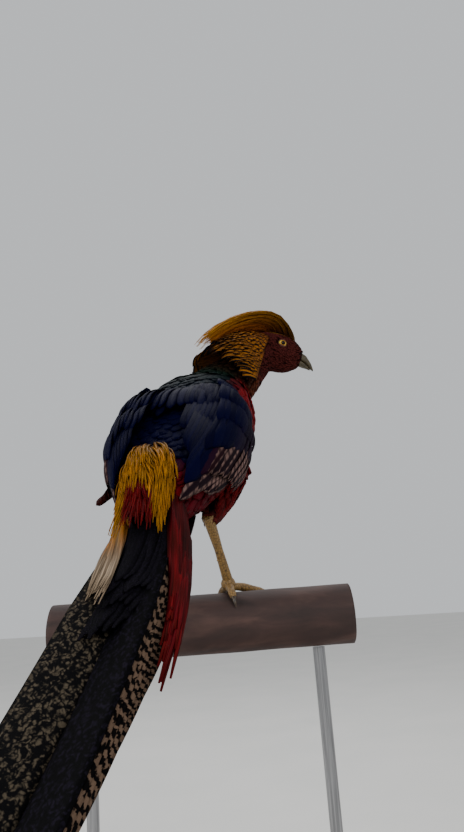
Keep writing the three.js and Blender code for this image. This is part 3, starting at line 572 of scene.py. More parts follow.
def make_skin():
    """One closed skin over the rough forms of body, neck, skull and thighs."""
    forms = [body_form(), neck_form(), skull_form(), thigh_form(1), thigh_form(-1)]
    points, faces = merged(forms)
    rough = in_scene("rough_skin", mesh_from("rough_skin", placed(points), faces))
    remesh = rough.modifiers.new("one skin", "REMESH")
    remesh.mode = "VOXEL"
    remesh.voxel_size = VOXEL * MM
    remesh.use_smooth_shade = True
    soft = rough.modifiers.new("soft", "SMOOTH")
    soft.factor = 0.6
    soft.iterations = 5
    done = evaluated_mesh(rough)
    bpy.data.objects.remove(rough)
    done.name = "skin"
    return done


def unwrap(obj):
    obj.data.uv_layers.active = obj.data.uv_layers.new(name="OFBake")
    bpy.context.view_layer.objects.active = obj
    obj.select_set(True)
    bpy.ops.object.mode_set(mode="EDIT")
    bpy.ops.mesh.select_all(action="SELECT")
    bpy.ops.uv.smart_project(angle_limit=1.15, island_margin=0.004)
    bpy.ops.object.mode_set(mode="OBJECT")
    obj.select_set(False)


# Single feathers, one unit long


def unit_vane(name, outline, rows, across):
    """A flat feather with its root at 0 and its tip at 1. outline gives its half width along it."""
    columns = list(np.linspace(-1, 1, across))
    around = [(x, 1) for x in columns] + [(x, -1) for x in columns[-2:0:-1]]
    points, faces = [], []
    for v in np.linspace(0, 1, rows) ** 0.9:
        half = max(outline(v), 0.02)
        points += [(x * half, v, 0.5 * face * (1 - abs(x)) ** 0.6) for x, face in around]
    count = len(around)
    for row in range(rows - 1):
        for k in range(count):
            a, b = row * count + k, row * count + (k + 1) % count
            faces.append((a, a + count, b + count, b))
    faces.append(tuple(range(count)))
    faces.append(tuple(reversed(range((rows - 1) * count, rows * count))))
    mesh = mesh_from(name, points, faces)
    give(mesh, "unit", points)
    give(mesh, "edge", [x for x, _ in around] * rows, "FLOAT")
    return bpy.data.objects.new(name, mesh)


def blunt(v, start, run):
    """A round end that starts at a place along the feather."""
    return math.sqrt(max(0, 1 - max(0, (v - start) / run) ** 2))


def rounded(v):
    return min(1, 0.45 + v * 2.2) * blunt(v, 0.62, 0.385)


def squared_end(v):
    return 0.55 + 0.45 * min(1, v * 1.8)


def lock_shape(v):
    return (0.55 + 0.45 * min(1, v * 4)) * (1 - 0.85 * v ** 1.6)


def quill_shape(v):
    return min(1, 0.4 + v * 3) * (1 - 0.25 * v) * blunt(v, 0.8, 0.203)


def tail_shape(v):
    return min(1, 0.6 + v * 5) * (1 - 0.78 * max(0, (v - 0.35) / 0.65) ** 1.5)


small_vane = unit_vane("small vane", rounded, 5, 3)
broad_vane = unit_vane("broad vane", rounded, 7, 5)
cape_vane = unit_vane("cape vane", squared_end, 6, 5)
silky_lock = unit_vane("silky lock", lock_shape, 7, 3)
quill_vane = unit_vane("quill vane", quill_shape, 12, 5)
tail_vane = unit_vane("tail vane", tail_shape, 26, 7)

# Feathers grown from points, by nodes

SHARED_INPUTS = {"Vane": "Object", "Patch": "Float", "Finish": "Material"}
COAT_INPUTS = {"Spacing": "Float", "Density": "Float", "Cover": "String", "Seed": "Int", "Stir": "Float"}
# The coat's feathers are cupped by this share of their half width, and are at most so thick.
COAT_CUP = -0.17
THICKEST = 0.5
# How wide a feather's patch is in the skin's map.
PATCH = 0.003


def new_tree(name, inputs):
    tree = bpy.data.node_groups.new(name, "GeometryNodeTree")
    tree.is_modifier = True
    for label, kind in {"Geometry": "Geometry", **inputs}.items():
        tree.interface.new_socket(label, in_out="INPUT", socket_type="NodeSocket" + kind)
    tree.interface.new_socket("Geometry", in_out="OUTPUT", socket_type="NodeSocketGeometry")
    return tree


def set_inputs(modifier, values):
    """Inputs are set by the socket's identifier, which its name in the tree gives."""
    for item in modifier.node_group.interface.items_tree:
        if item.item_type == "SOCKET" and item.in_out == "INPUT" and item.name in values:
            modifier[item.identifier] = values[item.name]


def vane_stage(tree, points, group, skin_shape):
    """Puts the unit feather on each point and bends it through its middle and tip.

    Each point carries middle and tip as offsets from the root, the way its upper face looks, and a form of
    half width, sideways cup and thickness."""
    names = ("middle", "tip", "facing", "form", "unit", "root", "patch", "OFBake")
    middle, tip, facing, form, place, root, patch, wrap = (
        add(tree, CARRIED, {"Name": name}, **VECTORS).outputs["Attribute"] for name in names)
    here = add(tree, "GeometryNodeInputPosition")
    near = add(tree, "GeometryNodeSampleNearestSurface", {"Mesh": skin_shape, "Value": wrap}, **VECTORS)
    kept = points
    for name, value in (("root", here), ("patch", near)):
        kept = add(tree, STORE, {"Geometry": kept, "Name": name, "Value": value}, **ON_POINTS)
    vane = add(tree, "GeometryNodeObjectInfo", {"Object": group.outputs["Vane"]}).outputs["Geometry"]
    copies = add(tree, "GeometryNodeInstanceOnPoints", {"Points": kept, "Instance": vane})
    real = add(tree, "GeometryNodeRealizeInstances", {"Geometry": copies})

    # At v along it, the line is root + 4v(1 - v) middle + v(2v - 1) tip, which runs through all three.
    x, v, w = add(tree, PARTS, {0: place}).outputs
    rest = add(tree, MATH, {0: 1.0, 1: v}, operation="SUBTRACT")
    arch = add(tree, MATH, {0: v, 1: rest}, operation="MULTIPLY")
    arch = add(tree, MATH, {0: arch, 1: 4.0}, operation="MULTIPLY")
    reach = add(tree, MATH, {0: v, 1: 2.0, 2: -1.0}, operation="MULTIPLY_ADD")
    reach = add(tree, MATH, {0: reach, 1: v}, operation="MULTIPLY")
    through = add(tree, VECTOR, {0: middle, 1: arch}, operation="SCALE")
    beyond = add(tree, VECTOR, {0: tip, 1: reach}, operation="SCALE")
    path = add(tree, VECTOR, {0: through, 1: beyond}, operation="ADD")
    path = add(tree, VECTOR, {0: path, 1: root}, operation="ADD")

    # Its heading there is (4 - 8v) middle + (4v - 1) tip.
    early = add(tree, MATH, {0: v, 1: -8.0, 2: 4.0}, operation="MULTIPLY_ADD")
    late = add(tree, MATH, {0: v, 1: 4.0, 2: -1.0}, operation="MULTIPLY_ADD")
    early = add(tree, VECTOR, {0: middle, 1: early}, operation="SCALE")
    late = add(tree, VECTOR, {0: tip, 1: late}, operation="SCALE")
    way = add(tree, VECTOR, {0: early, 1: late}, operation="ADD")
    side = add(tree, VECTOR, {0: facing, 1: way}, operation="CROSS_PRODUCT")
    side = add(tree, VECTOR, {0: side}, operation="NORMALIZE")
    up = add(tree, VECTOR, {0: way, 1: side}, operation="CROSS_PRODUCT")
    up = add(tree, VECTOR, {0: up}, operation="NORMALIZE")

    half, cup, thick = add(tree, PARTS, {0: form}).outputs
    wide = add(tree, MATH, {0: x, 1: half}, operation="MULTIPLY")
    bow = add(tree, MATH, {0: x, 1: x}, operation="MULTIPLY")
    bow = add(tree, MATH, {0: bow, 1: cup}, operation="MULTIPLY")
    rise = add(tree, MATH, {0: w, 1: thick, 2: bow}, operation="MULTIPLY_ADD")
    wide = add(tree, VECTOR, {0: side, 1: wide}, operation="SCALE")
    rise = add(tree, VECTOR, {0: up, 1: rise}, operation="SCALE")
    spot = add(tree, VECTOR, {0: path, 1: wide}, operation="ADD")
    spot = add(tree, VECTOR, {0: spot, 1: rise}, operation="ADD")
    formed = add(tree, "GeometryNodeSetPosition", {"Geometry": real, "Position": spot})

    # Each feather's map is a small patch where its root stands in the skin's own map.
    small = add(tree, VECTOR, {0: place, 1: group.outputs["Patch"]}, operation="SCALE")
    small = add(tree, VECTOR, {0: small, 1: patch}, operation="ADD")
    done = add(tree, STORE, {"Geometry": formed, "Name": "OFBake", "Value": small},
               data_type="FLOAT2", domain="CORNER")
    for name in ("middle", "tip", "facing", "form", "root", "patch"):
        done = add(tree, "GeometryNodeRemoveAttribute", {"Geometry": done, "Name": name})
    return add(tree, "GeometryNodeSetMaterial", {"Geometry": done, "Material": group.outputs["Finish"]})


def placed_feathers_tree():
    """Feathers on points that carry all that a feather needs."""
    tree = new_tree("feathers on set roots", {**SHARED_INPUTS, "Skin": "Object"})
    group = add(tree, "NodeGroupInput")
    skin_shape = add(tree, "GeometryNodeObjectInfo", {"Object": group.outputs["Skin"]}).outputs["Geometry"]
    add(tree, "NodeGroupOutput", {0: vane_stage(tree, group.outputs["Geometry"], group, skin_shape)})
    return tree


def coat_tree():
    """Small feathers spread evenly over a skin that carries their lie, size and colour at each point."""
    tree = new_tree("coat over a skin", {**SHARED_INPUTS, **COAT_INPUTS})
    group = add(tree, "NodeGroupInput")
    seed = group.outputs["Seed"]
    skin_shape = group.outputs["Geometry"]
    cover = add(tree, CARRIED, {"Name": group.outputs["Cover"]}, data_type="FLOAT").outputs["Attribute"]
    spread = add(tree, "GeometryNodeDistributePointsOnFaces",
                 {"Mesh": skin_shape, "Distance Min": group.outputs["Spacing"], "Seed": seed,
                  "Density Max": group.outputs["Density"], "Density Factor": cover},
                 distribute_method="POISSON")
    names = ("lie", "feather", "facing")
    lie, size, facing = (add(tree, CARRIED, {"Name": name}, **VECTORS) for name in names)
    length, half, lift = add(tree, PARTS, {0: size}).outputs
    points = add(tree, STORE, {"Geometry": spread, "Name": "facing", "Value": spread.outputs["Normal"]},
                 **ON_POINTS)

    # The feather lies along the coat, stirred a little, and square to the skin's normal.
    stir = add(tree, "FunctionNodeRandomValue", {"Min": (-1.0,) * 3, "Max": (1.0,) * 3, "Seed": seed},
               **VECTORS)
    stir = add(tree, VECTOR, {0: stir, 1: group.outputs["Stir"]}, operation="SCALE")
    way = add(tree, VECTOR, {0: lie, 1: stir}, operation="ADD")
    across = add(tree, VECTOR, {0: facing, 1: way}, operation="CROSS_PRODUCT")
    way = add(tree, VECTOR, {0: across, 1: facing}, operation="CROSS_PRODUCT")
    way = add(tree, VECTOR, {0: way}, operation="NORMALIZE")
    vary = add(tree, "FunctionNodeRandomValue", {"Min": 0.8, "Max": 1.2, "Seed": seed}, data_type="FLOAT")
    length = add(tree, MATH, {0: length, 1: vary}, operation="MULTIPLY")

    # Its middle and tip stand over the skin's nearest place, each at a share of its lift.
    place = add(tree, "GeometryNodeInputPosition")
    for name, share, height in (("middle", 0.5, 0.75), ("tip", 1.0, 1.0)):
        step = add(tree, MATH, {0: length, 1: share}, operation="MULTIPLY")
        step = add(tree, VECTOR, {0: way, 1: step}, operation="SCALE")
        ahead = add(tree, VECTOR, {0: place, 1: step}, operation="ADD")
        near = add(tree, "GeometryNodeProximity", {0: skin_shape, "Sample Position": ahead},
                   target_element="FACES")
        rise = add(tree, MATH, {0: lift, 1: height}, operation="MULTIPLY")
        rise = add(tree, VECTOR, {0: facing, 1: rise}, operation="SCALE")
        spot = add(tree, VECTOR, {0: near, 1: rise}, operation="ADD")
        spot = add(tree, VECTOR, {0: spot, 1: place}, operation="SUBTRACT")
        points = add(tree, STORE, {"Geometry": points, "Name": name, "Value": spot}, **ON_POINTS)
    cup = add(tree, MATH, {0: half, 1: COAT_CUP}, operation="MULTIPLY")
    thick = add(tree, MATH, {0: half, 1: 0.25}, operation="MULTIPLY")
    thick = add(tree, MATH, {0: thick, 1: THICKEST * MM}, operation="MINIMUM")
    form = add(tree, "ShaderNodeCombineXYZ", {0: half, 1: cup, 2: thick})
    points = add(tree, STORE, {"Geometry": points, "Name": "form", "Value": form}, **ON_POINTS)
    luck = add(tree, "FunctionNodeRandomValue", {"Min": 0.0, "Max": 1.0, "Seed": 5}, data_type="FLOAT")
    points = add(tree, STORE, {"Geometry": points, "Name": "luck", "Value": luck},
                 data_type="FLOAT", domain="POINT")
    add(tree, "NodeGroupOutput", {0: vane_stage(tree, points, group, skin_shape)})
    return tree


set_roots_tree = placed_feathers_tree()
over_skin_tree = coat_tree()


def grown(source, tree, values):
    """The mesh that a tree makes from an object, with no instances left in it."""
    modifier = source.modifiers.new("grow", "NODES")
    modifier.node_group = tree
    set_inputs(modifier, values)
    source.update_tag()
    mesh = evaluated_mesh(source)
    source.modifiers.remove(modifier)
    mesh.uv_layers.active = mesh.uv_layers["OFBake"]
    mesh.polygons.foreach_set("use_smooth", [True] * len(mesh.polygons))
    return mesh


class Plumes:
    """Feathers with set roots, gathered for one piece."""

    carried = {"middle": "FLOAT_VECTOR", "tip": "FLOAT_VECTOR", "facing": "FLOAT_VECTOR",
               "form": "FLOAT_VECTOR", "mark": "FLOAT_COLOR", "luck": "FLOAT", "kind": "FLOAT"}

    def __init__(self):
        self.rows = []

    def put(self, root, middle, tip, facing, half, cup, thick, mark, kind=0.0):
        """One feather. Its cup is a share of its half width."""
        form = half * MM, cup * half * MM, thick * MM
        bends = (np.asarray(middle) - root) * MM, (np.asarray(tip) - root) * MM
        self.rows.append((root, *bends, unit(facing), form, mark, chance.random(), kind))

    def piece(self, name, vane, finish, slot, *nodes, patch=PATCH):
        roots, *columns = zip(*self.rows)
        mesh = mesh_from("roots", placed(roots), [])
        for (label, kind), values in zip(self.carried.items(), columns):
            give(mesh, label, values, kind)
        holder = in_scene("roots", mesh)
        values = {"Vane": vane, "Skin": skin, "Patch": patch, "Finish": FINISH[finish]}
        feathers = grown(holder, set_roots_tree, values)
        bpy.data.objects.remove(holder)
        return piece(name, feathers, None, slot, *nodes)


# Finishes


def new_finish(name, drawn, looks, strength=0.0, depth=0.0):
    """A material named for the real one. drawn() gives its colour and its relief.

    Its looks are values on the shader's own sockets, and the relief's depth is in millimetres."""
    finish = bpy.data.materials.new(name)
    finish.use_nodes = True
    tree = finish.node_tree
    tree.nodes.clear()
    colour, relief = drawn(tree)
    sockets = {"Base Color": colour, **looks}
    if relief:
        sockets["Normal"] = add(tree, "ShaderNodeBump",
                                {"Height": relief, "Strength": strength, "Distance": depth * MM})
    add(tree, "ShaderNodeOutputMaterial", {0: add(tree, "ShaderNodeBsdfPrincipled", sockets)})
    return finish


# How a feather is drawn: the slant of its barbs, its shaft's half width as a share, and its relief.
BARB_SLANT = 0.35
SHAFT_SHARE = 0.07
SHAFT_HEIGHT = 0.8
BARB_RELIEF = (0.35, 0.4)
WHOLE_TURN = 2 * math.pi


def feather_finish(name, rough, gloss, tint, barbs, paint):
    """A feather's finish: paint() gives its colour, and the barbs and shaft give its relief.

    barbs is how many fine lines slant off the shaft. They are drawn coarser than the real 0.5 mm, to show."""
    def drawn(tree):
        facts = {}
        for fact, output in (("edge", "Fac"), ("luck", "Fac"), ("kind", "Fac"), ("mark", "Color")):
            facts[fact] = add(tree, "ShaderNodeAttribute", attribute_name=fact).outputs[output]
        place = add(tree, "ShaderNodeAttribute", attribute_name="unit").outputs["Vector"]
        along = facts["along"] = add(tree, PARTS, {0: place}).outputs[1]
        beside = facts["beside"] = add(tree, MATH, {0: facts["edge"]}, operation="ABSOLUTE")
        run = add(tree, MATH, {0: beside, 1: -BARB_SLANT, 2: along}, operation="MULTIPLY_ADD")
        run = add(tree, MATH, {0: run, 1: barbs * WHOLE_TURN}, operation="MULTIPLY")
        lines = add(tree, MATH, {0: run}, operation="SINE")
        lines = add(tree, MATH, {0: lines, 1: 0.5, 2: 0.5}, operation="MULTIPLY_ADD")
        furrows = add(tree, RAMP, {0: lines}, [(0, "#b4b4b4"), (1, "#ffffff")])
        tone = add(tree, RAMP, {0: facts["luck"]}, [(0, "#c8c8c8"), (1, "#ffffff")])
        colour = add(tree, MIX, {0: 1.0, 1: paint(tree, facts), 2: furrows}, **DARKENED)
        colour = add(tree, MIX, {0: 1.0, 1: colour, 2: tone}, **DARKENED)
        shaft = add(tree, MATH, {0: beside, 1: SHAFT_SHARE}, operation="LESS_THAN")
        return colour, add(tree, MATH, {0: shaft, 1: SHAFT_HEIGHT, 2: lines}, operation="MULTIPLY_ADD")
    looks = {"Roughness": rough, "Specular IOR Level": gloss, "Specular Tint": linear(tint)}
    return new_finish(name, drawn, looks, *BARB_RELIEF)


def coat_paint(tree, facts):
    """Contour feathers: the bird's markings, darker at the root and with a black rim on the back."""
    root = add(tree, RANGE, {0: facts["along"], 1: 0.1, 2: 0.75}, **SMOOTH)
    root = add(tree, RAMP, {0: root}, [(0, "#5a5a5a"), (1, "#ffffff")])
    colour = add(tree, MIX, {0: 1.0, 1: facts["mark"], 2: root}, **DARKENED)
    rim = add(tree, RANGE, {0: facts["along"], 1: 0.78, 2: 0.95}, **SMOOTH)
    rim = add(tree, MATH, {0: rim, 1: facts["kind"]}, operation="MULTIPLY")
    return add(tree, MIX, {0: rim, 1: colour, 2: linear("#04060a")}, **COLOUR)


def cape_paint(tree, facts):
    """Cape feathers: orange gold with two blue-black bars across the square end. Their kind is its width."""
    gold = add(tree, RAMP, {0: facts["along"]}, [(0, "#2a1406"), (0.45, "#8a4a0c"), (1, "#b5701a")])
    from_end = add(tree, MATH, {0: 1.0, 1: facts["along"]}, operation="SUBTRACT")
    first = add(tree, MATH, {0: from_end, 1: facts["kind"]}, operation="LESS_THAN")
    middle = add(tree, MATH, {0: facts["kind"], 1: 3.3}, operation="MULTIPLY")
    half = add(tree, MATH, {0: facts["kind"], 1: 0.4}, operation="MULTIPLY")
    second = add(tree, MATH, {0: from_end, 1: middle, 2: half}, operation="COMPARE")
    bar = add(tree, MATH, {0: first, 1: second}, operation="MAXIMUM")
    return add(tree, MIX, {0: bar, 1: gold, 2: linear("#070912")}, **COLOUR)


def silk_paint(tree, facts):
    """Hair-like feathers of crest and rump: their own mark, darkened by painted shade towards the root, where
    they lie deep in the crest and the rump, up to their own colour at the tip.

    Those of a kind above one half get no painted shade at the root and keep an even colour, and above one
    turn to buff on the way."""
    # Painted shade: this ramp darkens each lock from its tip towards its root, deep among the others.
    tone = add(tree, RAMP, {0: facts["along"]}, [(0, "#6b5a48"), (0.5, "#d8d0c0"), (1, "#fff6e0")])
    even = add(tree, MATH, {0: facts["kind"], 1: 0.5}, operation="GREATER_THAN")
    tone = add(tree, MIX, {0: even, 1: tone, 2: linear("#e8e4dc")}, **COLOUR)
    turning = add(tree, MATH, {0: facts["kind"], 1: 1.0}, operation="GREATER_THAN")
    pale = add(tree, RANGE, {0: facts["along"], 1: 0.4, 2: 0.75}, **SMOOTH)
    pale = add(tree, MATH, {0: pale, 1: turning}, operation="MULTIPLY")
    colour = add(tree, MIX, {0: 1.0, 1: facts["mark"], 2: tone}, **DARKENED)
    return add(tree, MIX, {0: pale, 1: colour, 2: linear("#a8927a")}, **COLOUR)


def wing_paint(tree, facts):
    """Quills and wing coverts: blue-black towards the back, brown and barred with buff lower down."""
    bars = add(tree, MATH, {0: facts["edge"], 1: -0.04, 2: facts["along"]}, operation="MULTIPLY_ADD")
    bars = add(tree, MATH, {0: bars, 1: WHOLE_TURN * WING_BARS}, operation="MULTIPLY")
    bars = add(tree, MATH, {0: bars}, operation="SINE")
    bars = add(tree, RANGE, {0: bars, 1: -0.5, 2: 0.0}, **SMOOTH)
    bars = add(tree, MATH, {0: bars, 1: 0.7, 2: 0.3}, operation="MULTIPLY_ADD")
    pale = add(tree, RANGE, {0: facts["beside"], 1: 0.3, 2: 0.6}, **SMOOTH)
    pale = add(tree, MATH, {0: pale, 1: bars}, operation="MULTIPLY")
    barred = add(tree, MIX, {0: pale, 1: linear("#22151a"), 2: linear("#8a6c64")}, **COLOUR)
    brown = add(tree, RANGE, {0: facts["kind"], 1: 0.25, 2: 0.75}, **SMOOTH)
    return add(tree, MIX, {0: brown, 1: facts["mark"], 2: barred}, **COLOUR)


def tail_paint(tree, facts):
    """Tail feathers: the middle pair black with cream spots, the others barred with black and cinnamon."""
    across = add(tree, MATH, {0: facts["edge"], 1: 2.6}, operation="MULTIPLY")
    along = add(tree, MATH, {0: facts["along"], 1: 92.0}, operation="MULTIPLY")
    apart = add(tree, MATH, {0: facts["luck"], 1: 37.0}, operation="MULTIPLY")
    place = add(tree, "ShaderNodeCombineXYZ", {0: across, 1: along, 2: apart})
    stir = add(tree, NOISE, {"Vector": place, "Scale": 1.3, "Detail": 3.0}).outputs["Color"]
    stir = add(tree, VECTOR, {0: stir, 1: 1.5}, operation="SCALE")
    stirred = add(tree, VECTOR, {0: place, 1: stir}, operation="ADD")
    spots = add(tree, "ShaderNodeTexVoronoi", {"Vector": stirred, "Scale": 2.3, "Randomness": 1.0})
    spots = add(tree, RANGE, {0: spots, 1: 0.6, 2: 0.12}, **SMOOTH)
    spotted = add(tree, MIX, {0: spots, 1: linear("#0b0a0d"), 2: facts["mark"]}, **COLOUR)

    ripple = add(tree, NOISE, {"Vector": place, "Scale": 1.5, "Detail": 3.0})
    slant = add(tree, MATH, {0: facts["beside"], 1: -0.035, 2: facts["along"]}, operation="MULTIPLY_ADD")
    slant = add(tree, MATH, {0: ripple, 1: 0.022, 2: slant}, operation="MULTIPLY_ADD")
    stripe = add(tree, MATH, {0: slant, 1: WHOLE_TURN * TAIL_BARS}, operation="MULTIPLY")
    stripe = add(tree, MATH, {0: stripe}, operation="SINE")
    stripe = add(tree, RANGE, {0: stripe, 1: -0.35, 2: 0.55}, **SMOOTH)
    barred = add(tree, MIX, {0: stripe, 1: linear("#0e0a0b"), 2: linear("#8f7460")}, **COLOUR)
    outer = add(tree, RANGE, {0: facts["kind"], 1: 0.3, 2: 0.7}, **SMOOTH)
    return add(tree, MIX, {0: outer, 1: spotted, 2: barred}, **COLOUR)


# Pale bars on the whole length of a wing quill and of a tail feather, 4 to 9 mm and 2 to 9 mm apart.
WING_BARS = 11
TAIL_BARS = 62


def down(tree):
    """Matted down with a grain of about 1.1 mm, its colour darkened by painted shade: the shade in the gaps
    between the feathers that stand in it.
    """
    mark = add(tree, "ShaderNodeAttribute", attribute_name="mark").outputs["Color"]
    place = add(tree, "ShaderNodeTexCoord").outputs["Object"]
    fluff = add(tree, NOISE, {"Vector": place, "Scale": 1 / (1.111 * MM), "Detail": 3.0})
    # Painted shade along with the down's grain: this ramp darkens the mark so that the gaps between feathers
    # look shaded.
    shadow = add(tree, RAMP, {0: fluff}, [(0.3, "#3c3030"), (0.7, "#7a6464")])
    return add(tree, MIX, {0: 1.0, 1: mark, 2: shadow}, **DARKENED), fluff


def scales(tree):
    """Leg scales about 2 mm across with sunken joints."""
    place = add(tree, "ShaderNodeTexCoord").outputs["Object"]
    place = add(tree, "ShaderNodeMapping", {"Vector": place, "Scale": (1, 1, 0.8)})
    cells = add(tree, "ShaderNodeTexVoronoi", {"Vector": place, "Scale": 1 / (2.083 * MM)},
                feature="DISTANCE_TO_EDGE")
    joint = add(tree, RANGE, {0: cells, 1: 0.0, 2: 0.12}, **SMOOTH)
    return add(tree, MIX, {0: joint, 1: linear("#3e2a14"), 2: linear("#8f6e3a")}, **COLOUR), joint


def pupil_and_iris(tree):
    """Rings of colour by the angle from where the eye looks: black pupil, pale yellow iris, dark rim."""
    away = add(tree, "ShaderNodeAttribute", attribute_name="away").outputs["Fac"]
    return add(tree, RAMP, {0: away}, [(0.0, "#010101"), (0.3, "#010101"), (0.35, "#a8741a"),
                                       (0.6, "#d8b84e"), (0.8, "#2a1a08")]), None


def grain(stops, size, detail, stretch=(1, 1, 1), distortion=0.0):
    """Colour and relief from one noise, whose grain is a size in millimetres. Stretch makes it finer."""
    def drawn(tree):
        place = add(tree, "ShaderNodeTexCoord").outputs["Object"]
        place = add(tree, "ShaderNodeMapping", {"Vector": place, "Scale": stretch})
        noise = add(tree, NOISE, {"Vector": place, "Scale": 1 / (size * MM), "Detail": detail,
                                  "Distortion": distortion})
        return add(tree, RAMP, {0: noise}, stops), noise
    return drawn


FINISH = {
    # Small overlapping feathers: matt, with fine lines off the shaft.
    "coat": feather_finish("contour feathers", 0.7, 0.05, "#ffffff", 14, coat_paint),
    # Back feathers: near black, with a faint violet-blue gloss.
    "back": feather_finish("glossy blue-black back feathers", 0.65, 0.03, "#7a6cff", 14, coat_paint),
    # Stiff square-ended feathers: a dull gold with a soft shine.
    "cape": feather_finish("cape feathers", 0.6, 0.08, "#ffffff", 20, cape_paint),
    # Loose barbs like silk threads: the shiniest of the plumage, with a golden gloss.
    "silk": feather_finish("silky hair-like feathers", 0.5, 0.08, "#ffe2a8", 3, silk_paint),
    # Firm closed vanes: a faint violet gloss over brown and blue-black.
    "wing": feather_finish("wing quills and coverts", 0.65, 0.03, "#9a86ff", 34, wing_paint),
    # Long stiff vanes: a dull shine along mottled brown.
    "tail": feather_finish("long tail quills", 0.65, 0.05, "#ffffff", 160, tail_paint),
    # Down: soft and dull, its colour darkened by painted shade so that the gaps between feathers go dark.
    "skin": new_finish("down over skin", down, {"Roughness": 0.85, "Specular IOR Level": 0.05}, 0.5, 0.6),
    # Horny scales: satin, each catching a little light on its raised middle.
    "leg": new_finish("scaled leg skin", scales, {"Roughness": 0.5}, 0.5, 0.4),
    # Eyeball: a thin wet film gives one small sharp light.
    "eye": new_finish("moist eye", pupil_and_iris,
                      {"Roughness": 0.08, "Specular IOR Level": 0.1, "Coat Weight": 0.12}),
    # Bare lid: fine dry wrinkles about 1 mm apart.
    "lid": new_finish("bare lid skin", grain([(0.3, "#3c1a12"), (0.7, "#6a3a22")], 1.111, 3),
                      {"Roughness": 0.7}, 0.4, 0.3),
    # Keratin of the bill: satin, its growth lines drawn out along it.
    "bill": new_finish("dull horn of the bill",
                       grain([(0.3, "#2c271a"), (0.7, "#554a30")], 3.333, 4, (1, 1, 3)),
                       {"Roughness": 0.38}, 0.4, 0.2),
    # Claw: darker and a little more polished than the bill, from wear.
    "claw": new_finish("dark claw horn", grain([(0.3, "#201810"), (0.7, "#4a3a28")], 2.0, 3),
                       {"Roughness": 0.35}, 0.4, 0.2),
    # Weathered round pole: dull, with worn fibres drawn out along it.
    "pole": new_finish("weathered dark pole",
                       grain([(0.25, "#211411"), (0.5, "#3a2621"), (0.75, "#553c34")], 23.81, 9,
                             (0.35, 1.6, 1.6), 0.4), {"Roughness": 0.75}, 0.6, 1.2),
    # Stained and waxed oak: a low sheen over long dark and light grain.
    "board": new_finish("dark stained oak",
                        grain([(0.3, "#1c110b"), (0.7, "#3e281b")], 38.46, 8, (0.25, 3, 3)),
                        {"Roughness": 0.42}, 0.4, 0.4),
    # Brushed steel: fine scratches drawn out up the rod spread its shine.
    "rod": new_finish("brushed steel rod",
                      grain([(0.3, "#7e7e80"), (0.7, "#a8a8aa")], 1.111, 2, (1, 1, 0.02)),
                      {"Roughness": 0.34, "Metallic": 1.0}, 0.2, 0.1),
    # Painted studio floor: pale, matt and almost even.
    "floor": new_finish("pale matt floor", grain([(0.3, "#d9d8d4"), (0.7, "#dedcd8")], 166.7, 2),
                        {"Roughness": 0.9}, 0.4, 0.2),
}

# Camera, lights and floor

# The camera stands about level with the pole's top, behind the bird, and looks up at it.
PICTURE_HEIGHT = 832
FOCAL_PIXELS = 680
SENSOR_HEIGHT = 24
CAMERA_BACK = 594
CAMERA_RIGHT = 37.8
CAMERA_OVER = 4.5
PITCH = math.radians(14)
ROLL = math.radians(4.3)

# Each lamp's place in metres, its power in watts and its width in metres.
LAMPS = {
    "key": ((-1.2, 1.6, 1.7), 20, 1.0),
    "fill": ((1.4, 1.2, 1.1), 15, 1.2),
    "back": ((0.4, -1.0, 2.0), 16, 1.0),
}
LAMPS_AIM = (0, 0.1, 0.45)
AIR_LIGHT = 0.75
FLOOR_REACH = 6
FLOOR_DROP = 0.0005


def make_camera():
    lens = bpy.data.cameras.new("camera")
    lens.sensor_fit = "VERTICAL"
    lens.sensor_height = SENSOR_HEIGHT
    lens.lens = SENSOR_HEIGHT * FOCAL_PIXELS / PICTURE_HEIGHT
    lens.clip_start = 0.02
    camera = in_scene("camera", lens)
    place = -CAMERA_RIGHT * ALONG_POLE - CAMERA_BACK * AHEAD + CAMERA_OVER * UP
    forward = AHEAD * math.cos(PITCH) + UP * math.sin(PITCH)
    up = UP * math.cos(PITCH) - AHEAD * math.sin(PITCH)
    side = np.cross(forward, up)
    rolled_side = side * math.cos(ROLL) - up * math.sin(ROLL)
    rolled_up = up * math.cos(ROLL) + side * math.sin(ROLL)
    turn = Matrix([rolled_side, rolled_up, -forward]).transposed()
    camera.matrix_world = Matrix.Translation(placed(place)) @ turn.to_4x4()
    bpy.context.scene.camera = camera


def make_studio():
    far = FLOOR_REACH
    corners = [(x, y, -FLOOR_DROP) for x, y in ((-far, -far), (far, -far), (far, far), (-far, far))]
    made = in_scene("floor", mesh_from("floor", corners, [(0, 1, 2, 3)]))
    made.data.materials.append(FINISH["floor"])
    world = bpy.data.worlds.new("studio air")
    bpy.context.scene.world = world
    world.use_nodes = True
    air = world.node_tree.nodes["Background"]
    air.inputs["Color"].default_value = linear("#eef1f4")
    air.inputs["Strength"].default_value = AIR_LIGHT
    for name, (place, power, width) in LAMPS.items():
        light = bpy.data.lights.new(name, "AREA")
        light.energy = power
        light.shape = "DISK"
        light.size = width
        lamp = in_scene(name, light)
        lamp.location = place
        lamp.rotation_euler = (Vector(LAMPS_AIM) - Vector(place)).to_track_quat("-Z", "Y").to_euler()


make_camera()
make_studio()

# The skin and what it tells its feathers

# For each part of the coat: its feathers' length, half width and height over the skin.
COAT_FEATHERS = {
    "body": (22, 5.0, 2.8), "back": (21, 7.0, 2.4), "throat": (12, 2.8, 2.2),
    "thigh": (17, 3.4, 2.8), "low thigh": (24, 3.0, 3.0), "face": (6.6, 1.05, 1.0),
}
